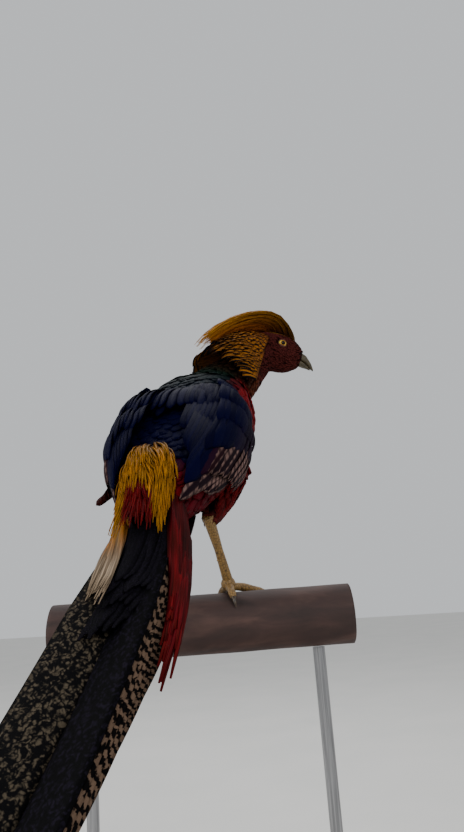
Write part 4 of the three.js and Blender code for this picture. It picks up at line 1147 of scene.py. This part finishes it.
# Where each part of the coat lies: from SKULL_CENTRE, over the pole's top, back from it, out of the middle,
# by degrees above the flank's middle and by stations.
FACE_REACH = 34
BARE_RING = 3.9
BILL_FROM = 30.5
THROAT_OVER = 172
NECK_REACH = 45
THROAT_FROM = 0.6
LEG_UNDER = 104
LEG_BEFORE = 66
LEG_OUT = 12
LEG_BELOW = -12
LOW_LEG_UNDER = 76
BACK_COAT_OVER = 30
BACK_COAT_FROM = 3.1
WING_COVERS = (-22, 56)
WING_COVERS_FROM = 3.6
WING_COVERS_TO = 4.5
WING_SLANT = 0.011
WING_OVER = 106
RUMP_COVERS_OVER = {"left": 60, "right": 88}
RUMP_COVERS = (2.1, 3.2)
BODY_COAT_FROM = 1.9


def tell_feathers(mesh):
    """Gives each of the skin's points the lie, size and colour of its feathers, and which coat covers it."""
    places = vertex_places(mesh)
    high = places[:, 2]
    s, above, left_side = along_body(places)
    t, _, neck_gap = along_neck(places)
    face = np.linalg.norm(places - SKULL_CENTRE, axis=1) < FACE_REACH
    throat = ~face & (high > THROAT_OVER) & (neck_gap < NECK_REACH) & (t > THROAT_FROM)
    thigh = (high < LEG_UNDER) & (places[:, 1] < LEG_BEFORE) & ~face
    thigh &= (np.abs(places[:, 0] + 2) > LEG_OUT) & (above < LEG_BELOW)
    back = (above > BACK_COAT_OVER) & (s > BACK_COAT_FROM) & ~face & ~throat
    wing = (above > WING_COVERS[0]) & (above < WING_COVERS[1]) & ~throat & (high > WING_OVER)
    wing &= (s > WING_COVERS_FROM) & (s < WING_COVERS_TO + WING_SLANT * above)
    rump = above > np.where(left_side, RUMP_COVERS_OVER["left"], RUMP_COVERS_OVER["right"])
    rump &= (s > RUMP_COVERS[0]) & (s < RUMP_COVERS[1])
    body = ~face & ~throat & ~thigh & ~back & ~wing & ~rump & (s > BODY_COAT_FROM)

    feather = np.empty((len(places), 3))
    feather[:] = COAT_FEATHERS["body"]
    masks = {"back": back, "throat": throat, "thigh": thigh, "face": face,
             "low thigh": thigh & (high < LOW_LEG_UNDER)}
    for name, mask in masks.items():
        feather[mask] = COAT_FEATHERS[name]
    give(mesh, "feather", feather * MM)
    give(mesh, "lie", flow(places))
    give(mesh, "mark", markings(places), "FLOAT_COLOR")
    # On the back a kind draws the black rim, which fades towards the rump.
    give(mesh, "kind", np.where(back, np.clip((s - 4.6) / 1.4, 0.15, 1), 0), "FLOAT")

    ahead, left, up = from_skull(places)
    round_eye = (np.hypot(ahead - EYE[0], up - EYE[2]) < BARE_RING) & (np.abs(left) > 6)
    covers = {"body": body, "back": back & ~wing & ~rump, "throat": throat, "thigh": thigh,
              "face": face & ~round_eye & (ahead <= BILL_FROM)}
    for name, mask in covers.items():
        give(mesh, "cover_" + name, mask, "FLOAT")


def vertex_places(mesh):
    """Where a mesh's points are in the bird's own frame."""
    co = np.empty(len(mesh.vertices) * 3)
    mesh.vertices.foreach_get("co", co)
    return co.reshape(-1, 3) / MM - (0, 0, POLE_TOP)


skin = piece("skin", make_skin(), FINISH["skin"], "scarlet_plumage",
             "torso", "neck", "head", "thigh_left", "thigh_right")
unwrap(skin)
tell_feathers(skin.data)

# Each part of the coat: its feather, the least spacing, the most to a square metre, a seed, how far the
# feathers are stirred out of their lie, its material slot and its finish.
COATS = {
    "body": (broad_vane, 4.7, 80000, 3, 0.16, "scarlet_plumage", "coat"),
    "back": (broad_vane, 4.7, 80000, 8, 0.1, "wing_feathers", "back"),
    "throat": (small_vane, 3.0, 200000, 4, 0.16, "face_plumage", "coat"),
    "thigh": (small_vane, 3.4, 160000, 5, 0.2, "scarlet_plumage", "coat"),
    "face": (small_vane, 1.15, 1100000, 6, 0.22, "face_plumage", "coat"),
}

for name, (vane, spacing, density, seed, stir, slot, finish) in COATS.items():
    mesh = grown(skin, over_skin_tree, {
        "Vane": vane, "Patch": PATCH, "Finish": FINISH[finish], "Spacing": spacing * MM,
        "Density": density, "Cover": "cover_" + name, "Seed": seed, "Stir": stir})
    piece(name + "_feathers", mesh, None, slot)

# Wings


def tilted(facing, way, angle):
    """A facing turned about the feather's own line."""
    way = unit(way)
    return facing * math.cos(angle) + np.cross(way, facing) * math.sin(angle)


# Each tier from first to last feather: its kind, how many, the stations of their roots and of their tips,
# the degrees above the flank's middle of both, how high they lie, their half width and their tilt.
WING_TIERS = [
    ("quill", 8, (3.9, 3.7), (2.85, 2.15), (-20, 8), (-6, 27), 3.2, 7, 14),
    ("quill", 11, (4.6, 4.7), (3.55, 2.5), (-26, 32), (-29, 32), 6.2, 8.4, 12),
    ("tertial", 6, (4.6, 4.6), (2.35, 3.0), (36, 62), (38, 64), 6.0, 9.5, 10),
    ("covert", 12, (4.85, 4.6), (4.15, 3.05), (-24, 42), (-28, 43), 8.8, 7.6, 10),
    ("covert", 10, (5.0, 4.95), (4.3, 3.7), (-6, 46), (-12, 47), 9.6, 7.2, 9),
    ("covert", 9, (5.15, 5.25), (4.45, 4.3), (8, 50), (4, 52), 9.2, 6.8, 8),
    ("covert", 7, (5.0, 5.5), (4.7, 4.8), (26, 56), (24, 57), 7.4, 6.2, 7),
    ("shoulder", 7, (5.0, 4.7), (3.6, 3.5), (44, 74), (46, 76), 5.4, 7, 6),
    ("shoulder", 8, (5.5, 5.2), (4.3, 4.1), (46, 76), (48, 77), 5.0, 6, 6),
    ("bridge", 9, (5.3, 5.2), (4.5, 4.2), (62, 98), (62, 100), 4.8, 6.5, 4),
]
# How far a tip strays along the body, in stations.
TIP_STRAY = {"shoulder": 0.2, "bridge": 0.2}
FOREMOST = 5.3
WING_ROOT_DEPTH = 2.5
# The left wing is held a little open: its coverts lie further forward and lower, its shoulder stands up, and
# the tips of its first quills stand out.
COVERT_STEP = 0.28
COVERT_SINK = 2.2
SHOULDER_RISE = 3.5
BRIDGE_SINK = 3.0
QUILL_FLARE = 15
FLARED_HALF = 3.6


def wing_colour(kind_of, root_at, flared):
    """A wing feather's mark, and its kind, which turns it brown and barred."""
    if kind_of == "quill":
        kind = 0.2 if flared else 1 - np.clip((root_at - 14) / 16, 0, 1)
        return mix(CHESTNUT, BACK_NAVY, np.clip((root_at - 18) / 12, 0, 1)), kind
    if kind_of == "covert":
        return mix(WING_DUSK, BACK_NAVY, np.clip((root_at + 10) / 36, 0, 1)), 0.0
    return BACK_NAVY, 0.0


def make_wing(word, side):
    plumes = Plumes()
    open_wing = side > 0
    for tier, (kind_of, count, roots, tips, roots_at, tips_at, lift, half, tilt) in enumerate(WING_TIERS):
        ahead = COVERT_STEP * max(0, tier - 3) if open_wing and kind_of == "covert" else 0
        for k in range(count):
            share = k / (count - 1)
            from_s = min(mix(*roots, share) + ahead * (0.4 + 0.6 * share), FOREMOST)
            to_s = mix(*tips, share) + ahead * 0.6 * share
            to_s += chance.uniform(-1, 1) * TIP_STRAY.get(kind_of, 0.07)
            root_at, tip_at = mix(*roots_at, share), mix(*tips_at, share)
            height = lift * (mix(0.55, 1, share) if kind_of == "covert" else 1) + chance.uniform(-0.25, 0.25)
            if ahead:
                height -= COVERT_SINK * share
            if kind_of == "shoulder":
                height += SHOULDER_RISE * open_wing
            if kind_of == "bridge":
                height += (SHOULDER_RISE * open_wing - BRIDGE_SINK) * share
            flare = QUILL_FLARE * max(0, 1 - k / 4) if open_wing and tier == 0 else 0
            half_way = mix(from_s, to_s, 0.5), mix(root_at, tip_at, 0.5)
            root = on_body(from_s, root_at, -WING_ROOT_DEPTH, side)[0]
            middle = on_body(*half_way, height + flare * 0.4, side)[0]
            tip = on_body(to_s, tip_at, height + flare, side)[0]
            out = unit(on_body(*half_way, height + 5, side)[0] - middle)
            facing = tilted(out, tip - root, side * math.radians(tilt))
            plumes.put(root, middle, tip, facing, FLARED_HALF if flare else half, -0.2, 0.7,
                       *wing_colour(kind_of, root_at, flare))
    plumes.piece(f"wing_feathers_{word}", quill_vane, "wing", "wing_feathers", f"wing_{word}")


for word, side in SIDES:
    make_wing(word, side)

# Tail and the long feathers beside it

# The length of each pair from the middle of the tail outwards.
TAIL_PAIRS = np.array([640, 565, 470, 385, 310, 245, 190, 145, 120], float)
TAIL_HALF = (17.5, 8.5)
PAIR_STEP_OUT = 2.6
PAIR_STEP_DOWN = 2.1
# The share of its way out that a pair keeps at its root, middle and tip.
FIRST_PAIR_NARROW = np.array((1, 0.86, 0.1))
PAIR_NARROW = np.array((1, 0.95, 0.45))


def make_tail():
    plumes = Plumes()
    for side in (1, -1):
        for k, length in enumerate(TAIL_PAIRS):
            half = mix(*TAIL_HALF, k / (len(TAIL_PAIRS) - 1))
            runs = np.array((4, mix(4, length, 0.5), length))
            spread = np.clip(0.5 + 0.5 * runs / 90, 0.5, 1)
            out = 0.6 + half * spread * math.cos(TAIL_ROOF) + PAIR_STEP_OUT * k * spread
            out = out * (PAIR_NARROW if k else FIRST_PAIR_NARROW)
            drop = -ROOF_FALL * out - PAIR_STEP_DOWN * k
            root, middle, tip = in_tail(runs, side * out, drop)
            level = in_tail(runs[1], side * out[1], drop[1] + 5)[0] - middle
            facing = tilted(unit(level), tip - root, -side * TAIL_ROOF)
            # The middle pair's spots: dimmed buff on the left, and painted shade on the right, where the
            # tail's dark colour stands in for the buff.
            mark = mix(BUFF, DARK_TAIL, 0.7) if side > 0 else DARK_TAIL
            plumes.put(root, middle, tip, facing, half, -0.12, 0.9, mark, float(k > 0))
    plumes.piece("tail_feathers", tail_vane, "tail", "tail_feathers", "tail", patch=0.02)


# Three staggered rows of nine over the tail's root and as many under it. Pairs run from the first row to the
# last, and the feathers' places across the tail from the first of a row to its last.
ROOT_ROWS = 3
ROOT_ROW_COUNT = 9
TAIL_COVERTS = {"across": (13, -22), "roots": (1.8, 2.1), "length": (95, 62), "over": (2.5, 7.0), "half": 8.0}
UNDER_TAIL = {"across": (-17, 17), "roots": (2.2, 2.75), "length": (70, 44), "under": 15, "half": 6.0}


def make_tail_coverts():
    """The dark feathers that hide the roots of the long tail feathers."""
    plumes = Plumes()
    kit = TAIL_COVERTS
    for row in range(ROOT_ROWS):
        share = row / (ROOT_ROWS - 1)
        for k in range(ROOT_ROW_COUNT):
            across = mix(*kit["across"], (k + 0.5 * (row % 2) + 0.25) / ROOT_ROW_COUNT)
            length = mix(*kit["length"], share) * mix(1, 0.8, abs(across) / 30) * chance.uniform(0.85, 1.06)
            over = mix(*kit["over"], share) - ROOF_FALL * abs(across)
            root = on_body(mix(*kit["roots"], share), 90 - across * 1.2, 0.3, 1)[0]
            middle = in_tail(length * 0.28, across * 0.92, over)[0]
            tip = in_tail(length, across * 1.02, over - 1)[0]
            plumes.put(root, middle, tip, (across * 0.012, 0.5, 1), kit["half"], -0.25, 0.7, DARK_TAIL)
    plumes.piece("tail_coverts", quill_vane, "tail", "tail_feathers", patch=0.01)


def make_under_tail():
    """Rusty feathers from the vent that close the gap under the tail's root."""
    plumes = Plumes()
    kit = UNDER_TAIL
    for row in range(ROOT_ROWS):
        share = row / (ROOT_ROWS - 1)
        for k in range(ROOT_ROW_COUNT):
            across = mix(*kit["across"], (k + 0.5 * (row % 2)) / (ROOT_ROW_COUNT - 0.5))
            side = 1 if across > 0 else -1
            root = on_body(mix(*kit["roots"], share), -90 + abs(across) * 2.2, -1, side)[0]
            under = -ROOF_FALL * abs(across) - kit["under"]
            length = mix(*kit["length"], share) * chance.uniform(0.85, 1.1)
            middle = in_tail(length * 0.3, across * 0.95, under - 2)[0]
            tip = in_tail(length, across * 0.9, under + 3)[0]
            mark = mix(CRIMSON, RUST, chance.uniform(0.2, 0.9))
            plumes.put(root, middle, tip, (across * 0.02, -0.5, -1.0), kit["half"], -0.25, 0.6, mark)
    plumes.piece("under_tail_feathers", quill_vane, "coat", "scarlet_plumage")


# The long feathers that hang from the sides of the rump along the tail, crimson on the right and paler on
# the left. Pairs run from the topmost to the lowest. near and out are how far beside the tail's line they
# pass and end, and turn is how far down the tail they pass.
LONG_COVERTS = {
    "left": {"count": 28, "roots": (2.75, 2.3), "roots_at": (58, -35), "turn": 14, "near": (12, 27),
             "out": (4, 24), "over": 4.5, "length": (72, 52), "vary": (0.85, 1.1), "half": 4.8,
             "marks": (RUMP_GOLD, ORANGE), "kind": 1.5},
    "right": {"count": 36, "roots": (2.15, 2.15), "roots_at": (46, -45), "turn": 42, "near": (30, 38),
              "out": (38, 46), "over": 2.5, "length": (84, 116), "vary": (0.8, 1.08), "half": 4.2,
              "marks": (CRIMSON, SCARLET), "kind": 0.8},
}


def make_long_coverts(word, side):
    plumes = Plumes()
    kit = LONG_COVERTS[word]
    for k in range(kit["count"]):
        share = (k + 0.5) / kit["count"]
        over = mix(5.0, 2.0, share) + chance.uniform(-0.6, 0.8) + kit["over"]
        length = mix(*kit["length"], share) * chance.uniform(*kit["vary"])
        near = mix(*kit["near"], share)
        out = mix(*kit["out"], share) + chance.uniform(-2, 2)
        root = on_body(mix(*kit["roots"], share), mix(*kit["roots_at"], share), 0.5, side)[0]
        middle = in_tail(kit["turn"], side * near, -ROOF_FALL * near + over)[0]
        tip = in_tail(length, side * out, -ROOF_FALL * out + over + chance.uniform(-1.5, 1))[0]
        mark = mix(*kit["marks"], 0.6 * chance.random())
        facing = (side * 0.5 + chance.uniform(-0.25, 0.25), 0.7, 0.8)
        plumes.put(root, middle, tip, facing, kit["half"], -0.3, 0.7, mark, kit["kind"])
    plumes.piece(f"long_coverts_{word}", silky_lock, "silk", "scarlet_plumage", f"coverts_{word}")


make_tail()
make_tail_coverts()
make_under_tail()
for word, side in SIDES:
    make_long_coverts(word, side)

# Rump, crest and cape

RUMP_ROWS = 18
RUMP_LOCKS = 36
RUMP_STATIONS = (2.2, 3.3)
# The degrees at both edges of the rump's locks by station, at their roots and at their tips.
RUMP_ROOT_EDGES = (((2.2, 2.8, 3.3), (46, 56, 70)), ((2.2, 3.3), (116, 91)))
RUMP_TIP_EDGES = (((2.2, 2.7, 3.0, 3.3), (38, 40, 58, 68)), ((2.2, 2.65, 3.1, 3.3), (138, 138, 112, 104)))
RUMP_LOCK_REACH = (0.5, 0.8)
RUMP_LIFT = (2.0, 6.5)
RUMP_HALF = (1.0, 1.9)
# Locks that reach past this station over the tail's root are red.
RED_TIPS_UNDER = 2.05


def make_rump():
    plumes = Plumes()
    for row in range(RUMP_ROWS):
        high = row / (RUMP_ROWS - 1)
        start = mix(*RUMP_STATIONS, high)
        root_edges, tip_edges = ([np.interp(start, *edge) for edge in edges]
                                 for edges in (RUMP_ROOT_EDGES, RUMP_TIP_EDGES))
        for k in range(RUMP_LOCKS):
            share = (k + chance.uniform(0.1, 0.9)) / RUMP_LOCKS
            above = mix(*root_edges, share)
            from_s = start + chance.uniform(-0.06, 0.06)
            to_s = from_s - chance.uniform(*RUMP_LOCK_REACH)
            lift = mix(*RUMP_LIFT, high) + chance.uniform(-0.9, 1.1)
            tip_above = mix(*tip_edges, share) + chance.uniform(-5, 5)
            root = on_body(from_s, above, -0.5, 1)[0]
            middle = on_body(mix(from_s, to_s, 0.5), mix(above, tip_above, 0.5), lift * 0.85, 1)[0]
            tip = on_body(to_s, tip_above, lift, 1)[0]
            facing = on_body(to_s, tip_above, lift + 5, 1)[0] - tip
            mark = mix(RUMP_GOLD, mix(ORANGE, GOLD, 0.5), chance.random() ** 2)
            if to_s < RED_TIPS_UNDER and 66 < tip_above < 90 + 45 * (RED_TIPS_UNDER - to_s):
                mark = mix(CRIMSON, SCARLET, chance.random())
            plumes.put(root, middle, tip, facing, chance.uniform(*RUMP_HALF), -0.3, 0.5, mark)
    plumes.piece("rump_locks", silky_lock, "silk", "rump_gold", "rump")


# The crest's top line in the head's own axes, from the bill's root over the crown to its tip.
CREST_LINE = np.array([
    (29, 0, 9), (13, 0, 30), (-12, 0, 38), (-41, 0, 26), (-66, 0, -1), (-78, 0, -20),
], float)
CREST_LOCKS = 960
CREST_LAYERS = 5
LAYER_DEPTH = 4.5
CREST_HALF_WIDTH = (11.5, 9)
CREST_LOCK_REACH = (0.45, 0.66)
CREST_HALF = (0.6, 1.15)


def crest_point(t, across, sink):
    """A place in the crest: a share of its length, so far from its middle and under its top line."""
    along_line = t * (len(CREST_LINE) - 1)
    spot = smooth_line(CREST_LINE, along_line)[0]
    way = heading(CREST_LINE, along_line)[0]
    spread = across * mix(0.8, 1.15, min(1, t * 1.6))
    inwards = sink + 0.34 * abs(spread)
    return in_head(spot[0] - way[2] * inwards, spread, spot[2] + way[0] * inwards)


def make_crest():
    plumes = Plumes()
    for k in range(CREST_LOCKS):
        layer = k % CREST_LAYERS
        start = chance.random() ** 1.4 * 0.4 + 0.07 * layer + 0.01
        across = chance.uniform(-1, 1) * mix(*CREST_HALF_WIDTH, layer / (CREST_LAYERS - 1))
        sink = LAYER_DEPTH * layer + chance.uniform(-1.2, 2.0)
        reach = 1.0 - 0.06 * layer - 0.05 * abs(across) / 11 - 0.22 * chance.random() ** 2
        end = min(reach, start + chance.uniform(*CREST_LOCK_REACH))
        half_way = mix(start, end, 0.5)
        root = crest_point(start, across * 0.9, sink + 5)
        middle = crest_point(half_way, across, sink)
        narrowed = across * chance.uniform(0.75, 1.05)
        tip = crest_point(end, narrowed, sink * mix(1, 0.75, end) + chance.uniform(-0.5, 1.0))
        facing = crest_point(half_way, across, sink - 5) - middle
        mark = mix(GOLD, ORANGE, np.clip(0.1 + 0.2 * layer + 0.3 * chance.random(), 0, 1))
        plumes.put(root, middle, tip, facing, chance.uniform(*CREST_HALF), -0.3, 0.4, mark)
    plumes.piece("crest_locks", silky_lock, "silk", "crest_gold", "crest")


def clear_of_body(point, height):
    """A point inside the body, or too close over it, is moved out to a clear height."""
    stations = np.linspace(1.8, BREAST_END, 105)
    slips = np.abs(((point - smooth_line(BODY, stations)) * heading(BODY, stations)).sum(1))
    if slips.min() > 4:
        return point
    s = stations[[np.argmin(slips)]]
    side, up = axes_along(heading(BODY, s), UP)
    size = smooth_line(BODY_SIZE, s)[0]
    off = point - smooth_line(BODY, s)[0]
    across, upright = off @ side[0], off @ up[0]
    tall = size[1] if upright > 0 else size[2]
    power = 2 / (BACK_SQUARENESS if upright > 0 else BELLY_SQUARENESS)
    within = abs(across / (size[0] + height)) ** power + abs(upright / (tall + height)) ** power
    push = max(0, within ** (-1 / power) - 1)
    return point + side[0] * across * push + up[0] * upright * push


CAPE_ROWS = 17
# From the lowest row, on the neck, to the highest, behind the face.
CAPE_AT = (2.4, 3.42)
CAPE_ROUND = (80, 70)
CAPE_COUNT = (24, 17)
CAPE_LENGTH = (39, 15)
CAPE_HALF = (6.8, 3.4)
CAPE_BAR = (1.3, 1.9)
CAPE_RISE = ((0, 0.3, 0.75, 1), (13, 17, 16, 9))


def make_cape():
    """Rows of square-ended feathers from the mantle up to the face's edge, standing highest over the nape."""
    plumes = Plumes()
    for row in range(CAPE_ROWS):
        share = row / (CAPE_ROWS - 1)
        at, most, count, half = (mix(*ends, share) for ends in (CAPE_AT, CAPE_ROUND, CAPE_COUNT, CAPE_HALF))
        count = round(count)
        clear = 6 + 6 * share
        for k in range(count):
            turn = most * (2 * (k + 0.5 * (row % 2)) / (count - 0.5) - 1) + chance.uniform(-2.5, 2.5)
            rise = mix(1, 0.35, (abs(turn) / 100) ** 1.4) * np.interp(share, *CAPE_RISE)
            length = mix(*CAPE_LENGTH, share) * chance.uniform(0.85, 1.08)
            down = length / 30
            turn = math.radians(turn)
            root = on_neck(at, turn, -0.5)[0]
            out = unit(on_neck(at, turn, 5)[0] - root)
            middle = clear_of_body(on_neck(at - down * 0.5, turn, rise * 0.8)[0], clear)
            tip = clear_of_body(on_neck(at - down, turn, rise + chance.uniform(-0.5, 0.8))[0], clear)
            facing = tilted(out, tip - root, math.radians(6))
            plumes.put(root, middle, tip, facing, half, -0.22, 0.6, ORANGE, mix(*CAPE_BAR, share) / length)
    plumes.piece("cape_feathers", cape_vane, "cape", "cape_feathers", "cape")


make_rump()
make_crest()
make_cape()

# Head: eyes, lids and bill

# Each lid from corner to corner in degrees round the eye, and how wide the eye is opened there.
LIDS = ((4, 176, 0.6), (184, 356, 0.56))
EYE_OPEN_ACROSS = 0.97
LID_HIDDEN_AT = 1.75
LID_OVER = 0.12
LID_RIM_OVER = 0.75


def lid_form(low, high, tall, centre, axes):
    """One lid: a curved plate over the eyeball from the opening's rim back to where the face hides it."""
    across, up, look = axes
    loops = []
    for t in np.radians(np.linspace(low, high, 30)):
        opening = math.cos(t) * EYE_OPEN_ACROSS, math.sin(t) * tall
        way = unit(across * opening[0] + up * opening[1])
        rim = math.asin(np.linalg.norm(opening))
        outer = [(k, EYE_RADIUS + LID_RIM_OVER - 0.25 * k) for k in (0.06, 0.3, 0.65, 1)]
        inner = [(k, EYE_RADIUS + LID_OVER) for k in (1, 0.65, 0.3, 0)]
        section = [(mix(rim, LID_HIDDEN_AT, k), reach) for k, reach in outer + inner]
        loops.append(np.array([centre + (look * math.cos(a) + way * math.sin(a)) * r for a, r in section]))
    return outward(*loft(loops))


def make_eye(word, side):
    centre = in_head(EYE[0], side * (EYE[1] - EYE_SINK), EYE[2])
    look = unit(head_side * side + 0.12 * head_ahead)
    axes = (*axes_along(look, head_up), look)
    ball = egg(centre, (EYE_RADIUS,) * 3, axes, 36, 24)
    eyeball = shaped(f"eyeball_{word}", ball, "eye", "eye", f"eye_{word}")
    # How far round from its look each point is, as a share of a right angle.
    away = np.arccos(np.clip(unit(np.array(ball[0]) - centre) @ look, -1, 1)) / (math.pi / 2)
    give(eyeball.data, "away", away, "FLOAT")
    lids = merged([lid_form(*lid, centre, axes) for lid in LIDS])
    shaped(f"lids_{word}", lids, "lid", "face_plumage")


# For each half of the bill: where it ends ahead, its height at the root, how far its tip hooks down and how
# late, then places along it with its half width, height and depth there, its rings and their points.
BILL_ROOT = 24
BILL = {
    "upper": (46, -1.0, 8.0, 2.6, (0, 0.55, 0.85, 1), (6.8, 5.0, 2.6, 0.5), (7.8, 5.6, 3.0, 0.8),
              (3.6, 2.8, 2.4, 1.2), 30, 32),
    "lower": (42.5, -4.9, 4.6, 2.4, (0, 0.6, 1), (6.3, 4.4, 0.7), (0.7, 0.7, 0.7), (5.0, 3.4, 0.7), 22, 28),
}
# The nostril's hollow and the ridge over it, as FACE_FORMS gives them.
NOSTRIL_FORMS = [(34, 1.0, 2.0, 0.8, -1.5), (34, 2.8, 3.2, 1.1, 0.5)]


def bill_form(end, high, hook, late, places, halves, talls, deeps, rings, count):
    loops = []
    for t in np.linspace(0, 1, rings):
        centre = in_head(mix(BILL_ROOT, end, t), 0, high - hook * t ** late)
        half, tall, deep = (np.interp(t, places, sizes) for sizes in (halves, talls, deeps))
        loops.append(ring(centre, head_side, head_up, half, tall, count, deep))
    return loft(loops)


def make_bill():
    points, faces = bill_form(*BILL["upper"])
    points = np.array(points) + pushed(*from_skull(points), NOSTRIL_FORMS)
    shaped("bill_upper_horn", (points, faces), "bill", "bill_horn", "bill_upper")
    shaped("bill_lower_horn", bill_form(*BILL["lower"]), "bill", "bill_horn", "bill_lower")


for word, side in SIDES:
    make_eye(word, side)
make_bill()

# Legs and feet

TOE_GUIDE = (0.2, 0, 1)
SHANK_RADII = [4.9, 3.5, 4.4]
SHANK_SCALE = (3.1, 2.9, 2.5)
SPUR = (9, -1)
SPUR_RADII = [2.3, 0.6]
FOOT_BALL = (6.2, 6.4, 6.0)
FOOT_BALL_HEIGHT = 6.6
TOE_RADII = [3.9, 3.3, 3.6, 3.0, 3.3, 2.5]
TOE_SCALE = (2.4, 1.7, 2.1)
CLAW_RADII = [2.1, 1.7, 1.15, 0.25]


def toe_point(side, spread, run, height):
    """A place on a toe that runs round the pole from under the ankle, so high over the pole's face."""
    foot = ankle_at(side)
    lean = -math.radians(spread) * side
    arc = (foot @ AHEAD + math.cos(lean) * run) / POLE_RADIUS
    reach = POLE_RADIUS + height
    spot = ALONG_POLE * (foot @ ALONG_POLE - math.sin(lean) * run) + AHEAD * math.sin(arc) * reach
    spot[2] = math.cos(arc) * reach - POLE_RADIUS
    return spot


def shank_form(side):
    """A shank with a row of broad scales down its front and a spur behind."""
    hock, ankle = hock_at(side), ankle_at(side)
    way = unit(ankle - hock)
    line = [hock - way * 5, mix(hock, ankle, 0.5), ankle - (0, 0, 2)]
    parts = [tube(line, SHANK_RADII, 20, LIMB_GUIDE, 30)]
    across, up = axes_along(way, (0, -1, 0.3))
    for t in np.linspace(0.12, 0.95, 15):
        parts.append(egg(mix(hock, ankle, t) + up * 1.4, SHANK_SCALE, (across, up, way), 12, 8))
    spur_root = mix(hock, ankle, 0.66)
    parts.append(tube([spur_root, spur_root + (-side, *SPUR)], SPUR_RADII, 12, UP, 8))
    return merged(parts)


def foot_form(side):
    """The foot's ball and its toes, each with joints and a row of scales."""
    level = np.array((1.0, 0, 0)), np.array((0, 1.0, 0)), UP
    parts = [egg(ankle_at(side) * (1, 1, 0) + FOOT_BALL_HEIGHT * UP, FOOT_BALL, level, 24, 16)]
    for spread, length in TOES:
        spots = [toe_point(side, spread, length * t, TOE_RADIUS + 0.9 - 0.6 * t)
                 for t in np.linspace(0, 1, 6)]
        parts.append(tube(spots, TOE_RADII, 14, TOE_GUIDE, 26))
        for t in np.linspace(0.2, 0.95, 8):
            before, after = (toe_point(side, spread, length * t + step, TOE_RADIUS) for step in (-1, 1))
            way = unit(after - before)
            across, up = axes_along(way, (0.05, 0, 1))
            spot = toe_point(side, spread, length * t, TOE_RADIUS * 1.35)
            parts.append(egg(spot, TOE_SCALE, (across, up, way), 10, 6))
    return merged(parts)


def claw_form(side, spread, length):
    """A claw that goes on from its toe and curves down to a point."""
    spots = [toe_point(side, spread, length + CLAW_LENGTH * t - 0.6, 3.6 - 1.9 * t * t)
             for t in (0, 0.33, 0.66, 1)]
    return tube(spots, CLAW_RADII, 14, TOE_GUIDE, 16)


for word, side in SIDES:
    shaped(f"shank_skin_{word}", shank_form(side), "leg", "leg_skin", f"shank_{word}")
    shaped(f"foot_skin_{word}", foot_form(side), "leg", "leg_skin", f"foot_{word}")
    for k, toe in enumerate(TOES, 1):
        shaped(f"claw_horn_{word}_{k}", claw_form(side, *toe), "claw", "claw_horn", f"claw_{word}_{k}")

# Pole and stand

POLE_SINK = 0.35
POLE_BEVEL = 0.6


def pole_form():
    """A round pole with bevelled ends, worn uneven by a few slow waves round and along it."""
    half = POLE_LENGTH / 2
    ends = [-half, -half + POLE_BEVEL], [half - POLE_BEVEL, half]
    turn = np.arange(96) * 2 * math.pi / 96
    loops = []
    for x in [*ends[0], *np.linspace(-half + 3, half - 3, 60), *ends[1]]:
        wear = 0.16 * np.sin(3 * turn + x * 0.02) + 0.14 * np.sin(7 * turn + x * 0.05)
        wear = wear + 0.1 * np.sin(x * 0.11 + turn)
        radius = POLE_RADIUS - POLE_SINK + wear - (1.0 if abs(x) == half else 0)
        middle = ALONG_POLE * x - UP * POLE_RADIUS
        loops.append(middle + np.outer(np.cos(turn) * radius, -AHEAD) + np.outer(np.sin(turn) * radius, UP))
    return loft(loops)


shaped("pole", pole_form(), "pole", "perch_wood", "perch")
for name, key in (("stand_base", "board"), ("stand_rod_left", "rod"), ("stand_rod_right", "rod")):
    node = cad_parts[name]
    node.data.materials.clear()
    node.data.materials.append(FINISH[key])
